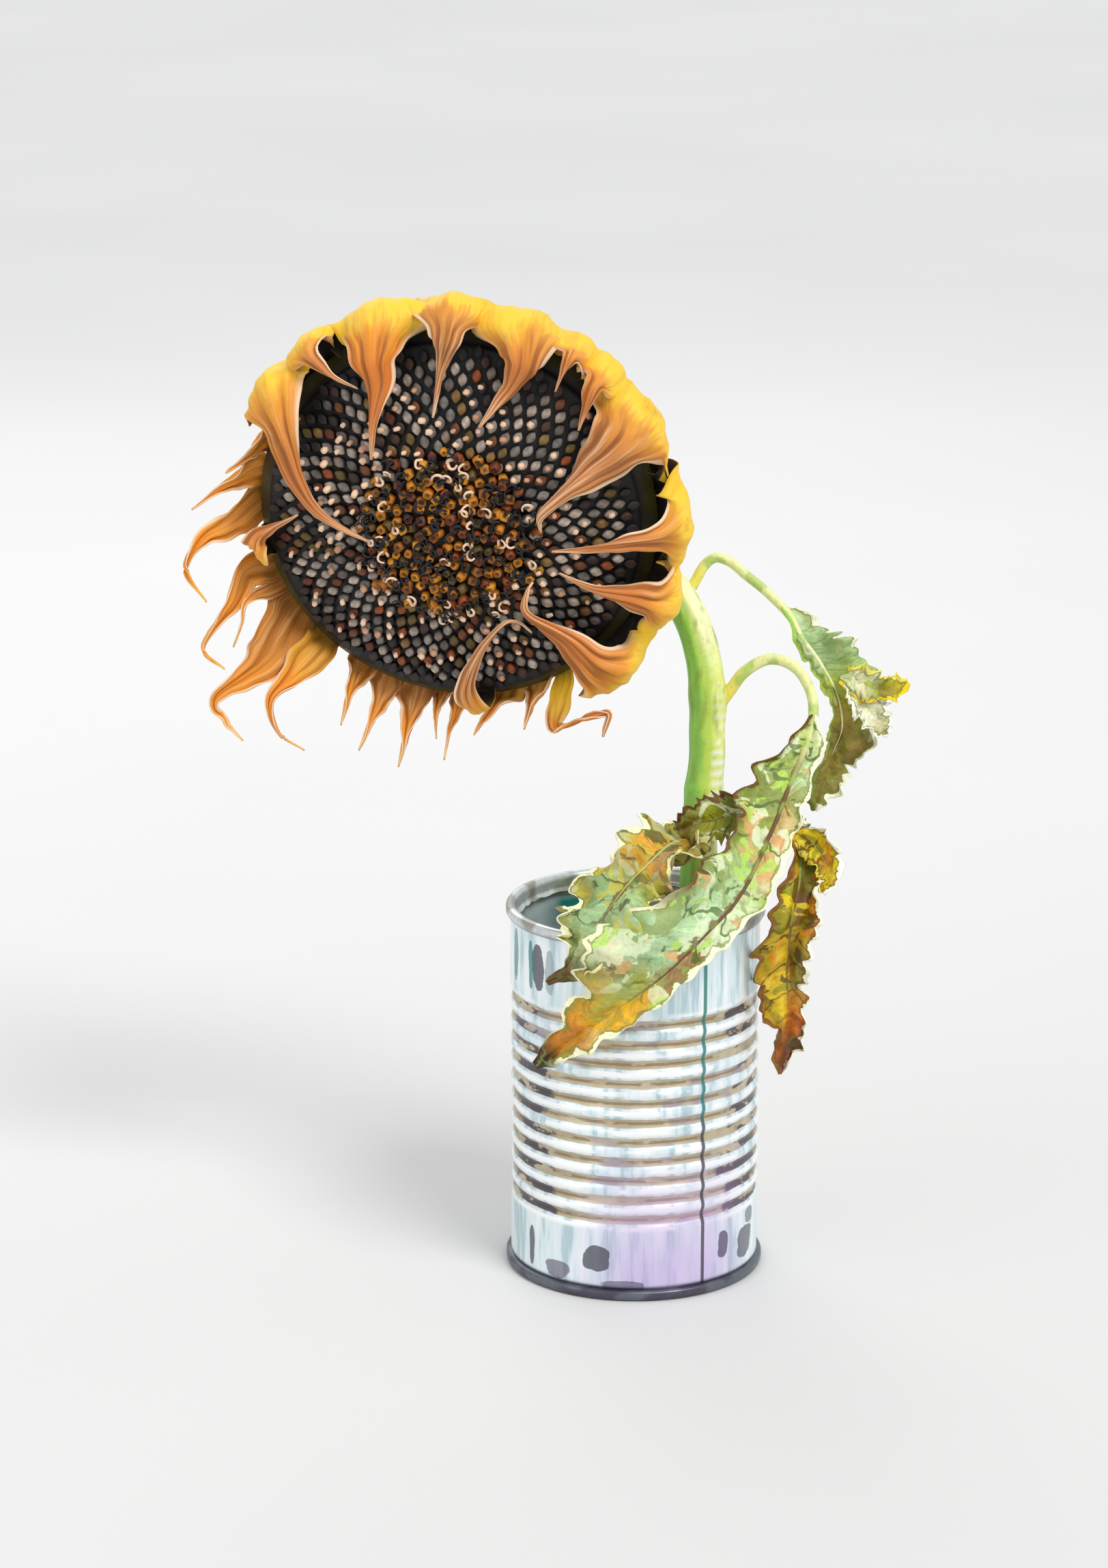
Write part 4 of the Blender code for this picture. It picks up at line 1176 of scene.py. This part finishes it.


# Painted reflections on the wall, as upright dark, teal and pale marks: angle from the front and half width
# (radians), middle and half height, colour, strength.
PAINTED_REFLECTIONS = [
    (-0.9, 0.07, 97, 7.5, "4A4450", 0.85), (-0.99, 0.03, 97, 8, "1D7F78", 0.8),
    (-1.25, 0.045, 97.5, 8, "1D7F78", 0.75), (-0.76, 0.05, 96, 7, "9AA8AC", 0.7),
    (-0.33, 0.12, 12, 4, "4A4A54", 0.85), (-0.98, 0.035, 11, 6, "4A4450", 0.85),
    (-0.68, 0.13, 6.5, 3, "6A5A70", 0.75), (0.78, 0.06, 13, 4.5, "5A5068", 0.85),
    (1.08, 0.12, 11, 5, "4A4C58", 0.8), (-0.1, 0.2, 4.2, 1.6, "5A5068", 0.7),
    (1.15, 0.08, 18.5, 2.5, "5A6068", 0.7),
]


def wall_material():
    """Tinned steel: pale, with painted highlights on the beads' ridges, painted shade in taupe in their
    valleys that turns slate toward the wall's sides, a dark side seam, and painted reflections as a lilac
    patch and upright marks.
    """
    n = Nodes("beaded_steel", 0.3, 0.55)
    place = n.place()
    x, y, z = n.add("ShaderNodeSeparateXYZ", Vector=place).outputs
    front = n.math("ARCTAN2", x, n.times(y, -1.0))
    height = n.times(z, 1000.0)
    inside = n.number("inside")
    outside = n.minus(1.0, inside)
    soft = n.noise(place, 60.0, 3.0)
    squat = n.add("ShaderNodeMapping", Vector=place, Scale=(1.0, 1.0, 2.2)).outputs[0]
    brush = n.noise(squat, 110.0, 3.0, 0.6)
    upright = n.add("ShaderNodeMapping", Vector=place, Scale=(1.0, 1.0, 0.12)).outputs[0]
    streak = n.noise(upright, 260.0, 3.0, 0.6)
    base = n.ramp(streak, (0.38, "BCD2D8"), (0.48, "DDEFF3"), (0.6, "F0F8FA"), (0.68, "FAFDFD"))
    # How far a point is from the nearest valley between two beads: 0 in the valley, 0.5 on a ridge.
    apart = n.math("PINGPONG", n.over(n.minus(height, FIRST_VALLEY), BEAD_PITCH), 0.5)
    apart = n.plus(apart, n.swing(brush, 0.22))
    level = n.over(height, TIN_HEIGHT)
    banded = n.ramp(level, (0.186, 0.0), (0.196, 1.0), (0.778, 1.0), (0.79, 0.0))
    side = n.plus(n.size(front), n.swing(soft, 0.9))
    side = n.ramp(n.over(side, math.pi), (0.25, 0.0), (0.27, 1.0), (0.4, 1.0), (0.46, 0.0))
    # Painted shade: the beads' valleys are painted taupe, with a darker line along their bottoms.
    taupe = n.ramp(soft, (0.36, "A89CA0"), (0.46, "CBBB9E"), (0.6, "B4A484"))
    valley = n.times(n.fall(apart, 0.2, 0.26), banded)
    base = n.blend(base, taupe, n.times(valley, 0.95))
    line = n.times(n.fall(apart, 0.07, 0.1), n.rise(brush, 0.42, 0.5))
    base = n.blend(base, "86765A", n.times(line, banded, 0.75))
    # Painted shade: the valleys turn dark slate toward the wall's left and right sides, as seen from the
    # front.
    dark = n.times(n.fall(apart, 0.2, 0.24), side, banded)
    dark = n.times(dark, n.rise(brush, 0.43, 0.48))
    base = n.blend(base, "4A4450", n.times(dark, 0.9))
    # Painted highlight: white along the beads' ridges.
    painted_ridge_highlight = n.times(n.rise(apart, 0.34, 0.38), n.rise(soft, 0.44, 0.5))
    base = n.blend(base, "FFFFFF", n.times(painted_ridge_highlight, banded))
    # A lilac painted reflection on the wall's lower front, then the upright painted reflections listed above,
    # and the side seam.
    lilac_painted_reflection = n.times(n.fall(n.size(n.minus(front, 0.3)), 0.35, 0.85), n.fall(level, 0.1, 0.42))
    base = n.blend(base, "C8A0E0", n.times(lilac_painted_reflection, 0.58))
    rough = n.swing(n.noise(place, 170.0, 3.0), 2.2)
    # Each painted reflection is an upright mark in its own colour.
    for angle, wide, middle, half, shade, strength in PAINTED_REFLECTIONS:
        near = n.over(n.size(n.minus(front, angle)), wide)
        tall = n.over(n.size(n.minus(height, middle)), half)
        reach = n.plus(n.times(near, near), n.math("POWER", tall, 4.0))
        mask = n.times(n.ramp(n.plus(reach, rough), (0.8, strength), (0.92, 0.0)), outside)
        base = n.blend(base, shade, mask)
    offset = n.times(n.size(n.minus(front, SEAM_FROM_FRONT)), WALL_RADIUS)
    seam = n.fall(offset, 0.45, 0.7)
    base = n.blend(base, n.ramp(level, (0.47, "4A4450"), (0.5, "1D7F78")), n.times(seam, 0.9))
    base = n.blend(base, "3C3A48", n.ramp(level, (0.03, 0.9), (0.04, 0.0)))
    within = n.ramp(soft, (0.4, "8CA2A4"), (0.6, "BCCCCC"))
    near = n.fall(n.size(n.plus(front, 2.62)), 0.12, 0.2)
    glint = n.times(near, n.ramp(level, (0.86, 0.0), (0.88, 1.0), (0.92, 1.0), (0.94, 0.0)))
    within = n.blend(within, "1D7F78", glint)
    base = n.blend(base, within, inside)
    n.put(n.ramp(soft, (0.3, 0.24), (0.7, 0.4)), n.shader.inputs["Roughness"])
    n.put(n.times(outside, 0.55), n.shader.inputs["Metallic"])
    return n.done(base, n.noise(place, 90.0, 2.0), 0.1, 0.6)


def steel_material():
    n = Nodes("seamed_steel", 0.3, 0.7)
    place = n.place()
    grain = n.noise(place, 700.0, 2.0, 0.6)
    soft = n.noise(place, 60.0, 3.0)
    base = n.blend(n.tint(), n.ramp(grain, (0.35, 0.86), (0.6, 1.0)), 1.0, "MULTIPLY")
    n.put(n.ramp(soft, (0.3, 0.26), (0.7, 0.42)), n.shader.inputs["Roughness"])
    return n.done(base, soft, 0.12, 0.6)


def make_tin():
    """The beaded wall with its side seam, the rolled rim with the lid's torn edge, and the seamed base."""
    foot, beads, neck = np.linspace(2.0, 20, 10), np.arange(20.6, 87.6, 0.59), np.linspace(88.5, 107.8, 10)
    heights = np.concatenate([foot, beads, neck])
    outer = [(bead_radius(z), z) for z in heights]
    inner = [(bead_radius(z) - SHEET, z) for z in heights[::-1][::2]]

    def wobble(z, a):
        apart = (a - SEAM_ANGLE + math.pi) % (2 * math.pi) - math.pi
        seam = 0.3 * bell(apart, 0, 0.022)
        dent = 0.12 * np.sin(a * 3 + z * 0.05) + 0.08 * np.sin(a * 7 - z * 0.11)
        return (seam + dent) * ease(z, 3, 8) * (1 - ease(z, 103, 107))

    points, faces, _, _ = turned(outer + inner, WALL_STEPS, wobble)
    inside = np.arange(len(points)) >= len(outer) * WALL_STEPS
    build_one("tin_wall", TIN, wall_material(), "steel", points, faces, inside=inside)

    material = steel_material()
    rim = [
        (36.85, 106.9), (37.6, 107.0), (37.9, 107.5), (38.0, 108.4), (37.85, 109.3), (37.4, 109.85),
        (36.7, 110), (35.9, 109.95), (35.3, 109.6), (35.0, 109.0), (34.9, 108.2), (34.85, 106.4),
        (34.7, 105.6), (33.9, 105.3), (33.7, 105.05), (33.9, 104.85), (34.8, 105.1), (35.15, 105.6),
        (35.3, 106.6),
    ]
    points, faces, a, z = turned(rim, WALL_STEPS, lambda z, a: 0.06 * np.sin(a * 9 + z))
    torn = points[:, 2] < 105.7
    points[:, 2] += torn * 0.25 * np.sin(a * 31 + 2 * np.sin(a * 7))
    outside = np.hypot(points[:, 0], points[:, 1]) > 36
    tint = paint(
        "A9A69E",
        ("D8DCDC", ease(cloud(points, 7, 21), 0.42, 0.58)),
        ("5A4A3A", 0.8 * (1 - ease(z, 107.0, 107.7)) * outside),
    )
    build_one("tin_top_rim", TIN, material, "steel", points, faces, tint=tint)

    base = [
        (0.01, 4.1), (29, 4.1), (29.7, 3.75), (30.1, 3.35), (33.8, 3.3), (34.7, 2.9), (35.0, 1.4),
        (35.1, 0.5), (35.5, 0.08), (36.4, 0), (37.3, 0.1), (37.8, 0.5), (37.95, 1.4), (37.9, 2.4),
        (37.5, 2.9), (36.85, 3.0), (35.3, 3.3), (34.9, 3.7), (30.4, 3.75), (29.8, 4.45), (0.01, 4.45),
    ]
    points, faces, _, _ = turned(base, 180)
    outside = np.hypot(points[:, 0], points[:, 1]) > 36.5
    tint = paint("B8C4CC", ("8A8494", ease(cloud(points, 7, 23), 0.45, 0.6)), ("3C3A48", 0.75 * outside))
    build_one("tin_base", TIN, material, "steel", points, faces, tint=tint)


def make_water():
    """Water in the tin, drawn up a little at its edge."""
    profile = [
        (0.01, 4.9), (34.2, 4.9), (34.7, 6), (34.7, 68.4), (34.4, 68.0), (33.6, 67.6), (30, 67.4),
        (15, 67.4), (0.01, 67.4),
    ]
    points, faces, _, _ = turned(profile, 120)
    n = Nodes("tin_water", 0.05, IOR=1.33, Transmission_Weight=0.9)
    murk = n.noise(n.place(), 70.0, 3.0)
    material = n.done(n.ramp(murk, (0.35, "7E9A80"), (0.65, "B4C8B0")), murk, 0.05, 0.4)
    build_one("water", TIN, material, "water", points, faces, tint=colour("A0B8A0"))


# ---------------------------------------------------------------- floor, light and camera

FLOOR_REACH = 14
FLOOR_DROP = 0.0002
SUN_FROM = Vector((0.55, -0.75, 0.95))
# Each soft light: its name, its place from the lights' target, its size and its power.
LIGHTS = (("fill", (-1.1, -0.9, 0.6), 1.2, 3), ("back", (-0.3, 1.1, 0.9), 0.9, 4))
LENS = 100
SENSOR = 36
CAMERA_TILT = math.radians(15)
CAMERA_AIM = Vector((-0.0238, 0.0363, 0.1356))
CAMERA_DISTANCE = 1.3


def turn_away(obj, direction):
    """Turn a light or camera so that its back is toward a direction."""
    obj.rotation_euler = direction.to_track_quat("Z", "Y").to_euler()


def make_studio():
    """A pale floor, a soft sun with two weak lights, and a camera at the photo's angle, all in metres."""
    r = FLOOR_REACH
    mesh = bpy.data.meshes.new("floor")
    mesh.from_pydata([(-r, -r, 0), (r, -r, 0), (r, r, 0), (-r, r, 0)], [], [(0, 1, 2, 3)])
    floor = add_object("floor", mesh)
    floor.location.z = -FLOOR_DROP
    n = Nodes("floor_paper", 0.85)
    paper = n.noise(n.place(), 2.0, 2.0)
    mesh.materials.append(n.done(n.ramp(paper, (0.3, "D9D8D6"), (0.7, "DDDCDA"))))
    world = bpy.data.worlds.new("studio")
    world.use_nodes = True
    world.node_tree.nodes["Background"].inputs["Color"].default_value = (0.95, 0.97, 1.0, 1)
    world.node_tree.nodes["Background"].inputs["Strength"].default_value = 0.75
    bpy.context.scene.world = world
    bpy.context.scene.view_settings.view_transform = "Standard"
    sun = add_object("sun", bpy.data.lights.new("sun", "SUN"))
    sun.data.energy = 1.7
    sun.data.angle = math.radians(24)
    turn_away(sun, SUN_FROM)
    target = AXIS + Vector((-0.02, 0, 0.15))
    for name, place, size, power in LIGHTS:
        light = add_object(name, bpy.data.lights.new(name, "AREA"))
        light.data.size = size
        light.data.energy = power
        light.location = target + Vector(place)
        turn_away(light, Vector(place))
    camera = add_object("camera", bpy.data.cameras.new("camera"))
    camera.data.lens = LENS
    camera.data.sensor_width = SENSOR
    toward = Vector((0, -math.cos(CAMERA_TILT), math.sin(CAMERA_TILT)))
    camera.location = AXIS + CAMERA_AIM + toward * CAMERA_DISTANCE
    turn_away(camera, toward)
    bpy.context.scene.camera = camera


make_studio()
make_tin()
make_water()
make_stem()
make_leaves()
make_receptacle()
make_bracts()
make_seeds()
make_florets()
make_petals()
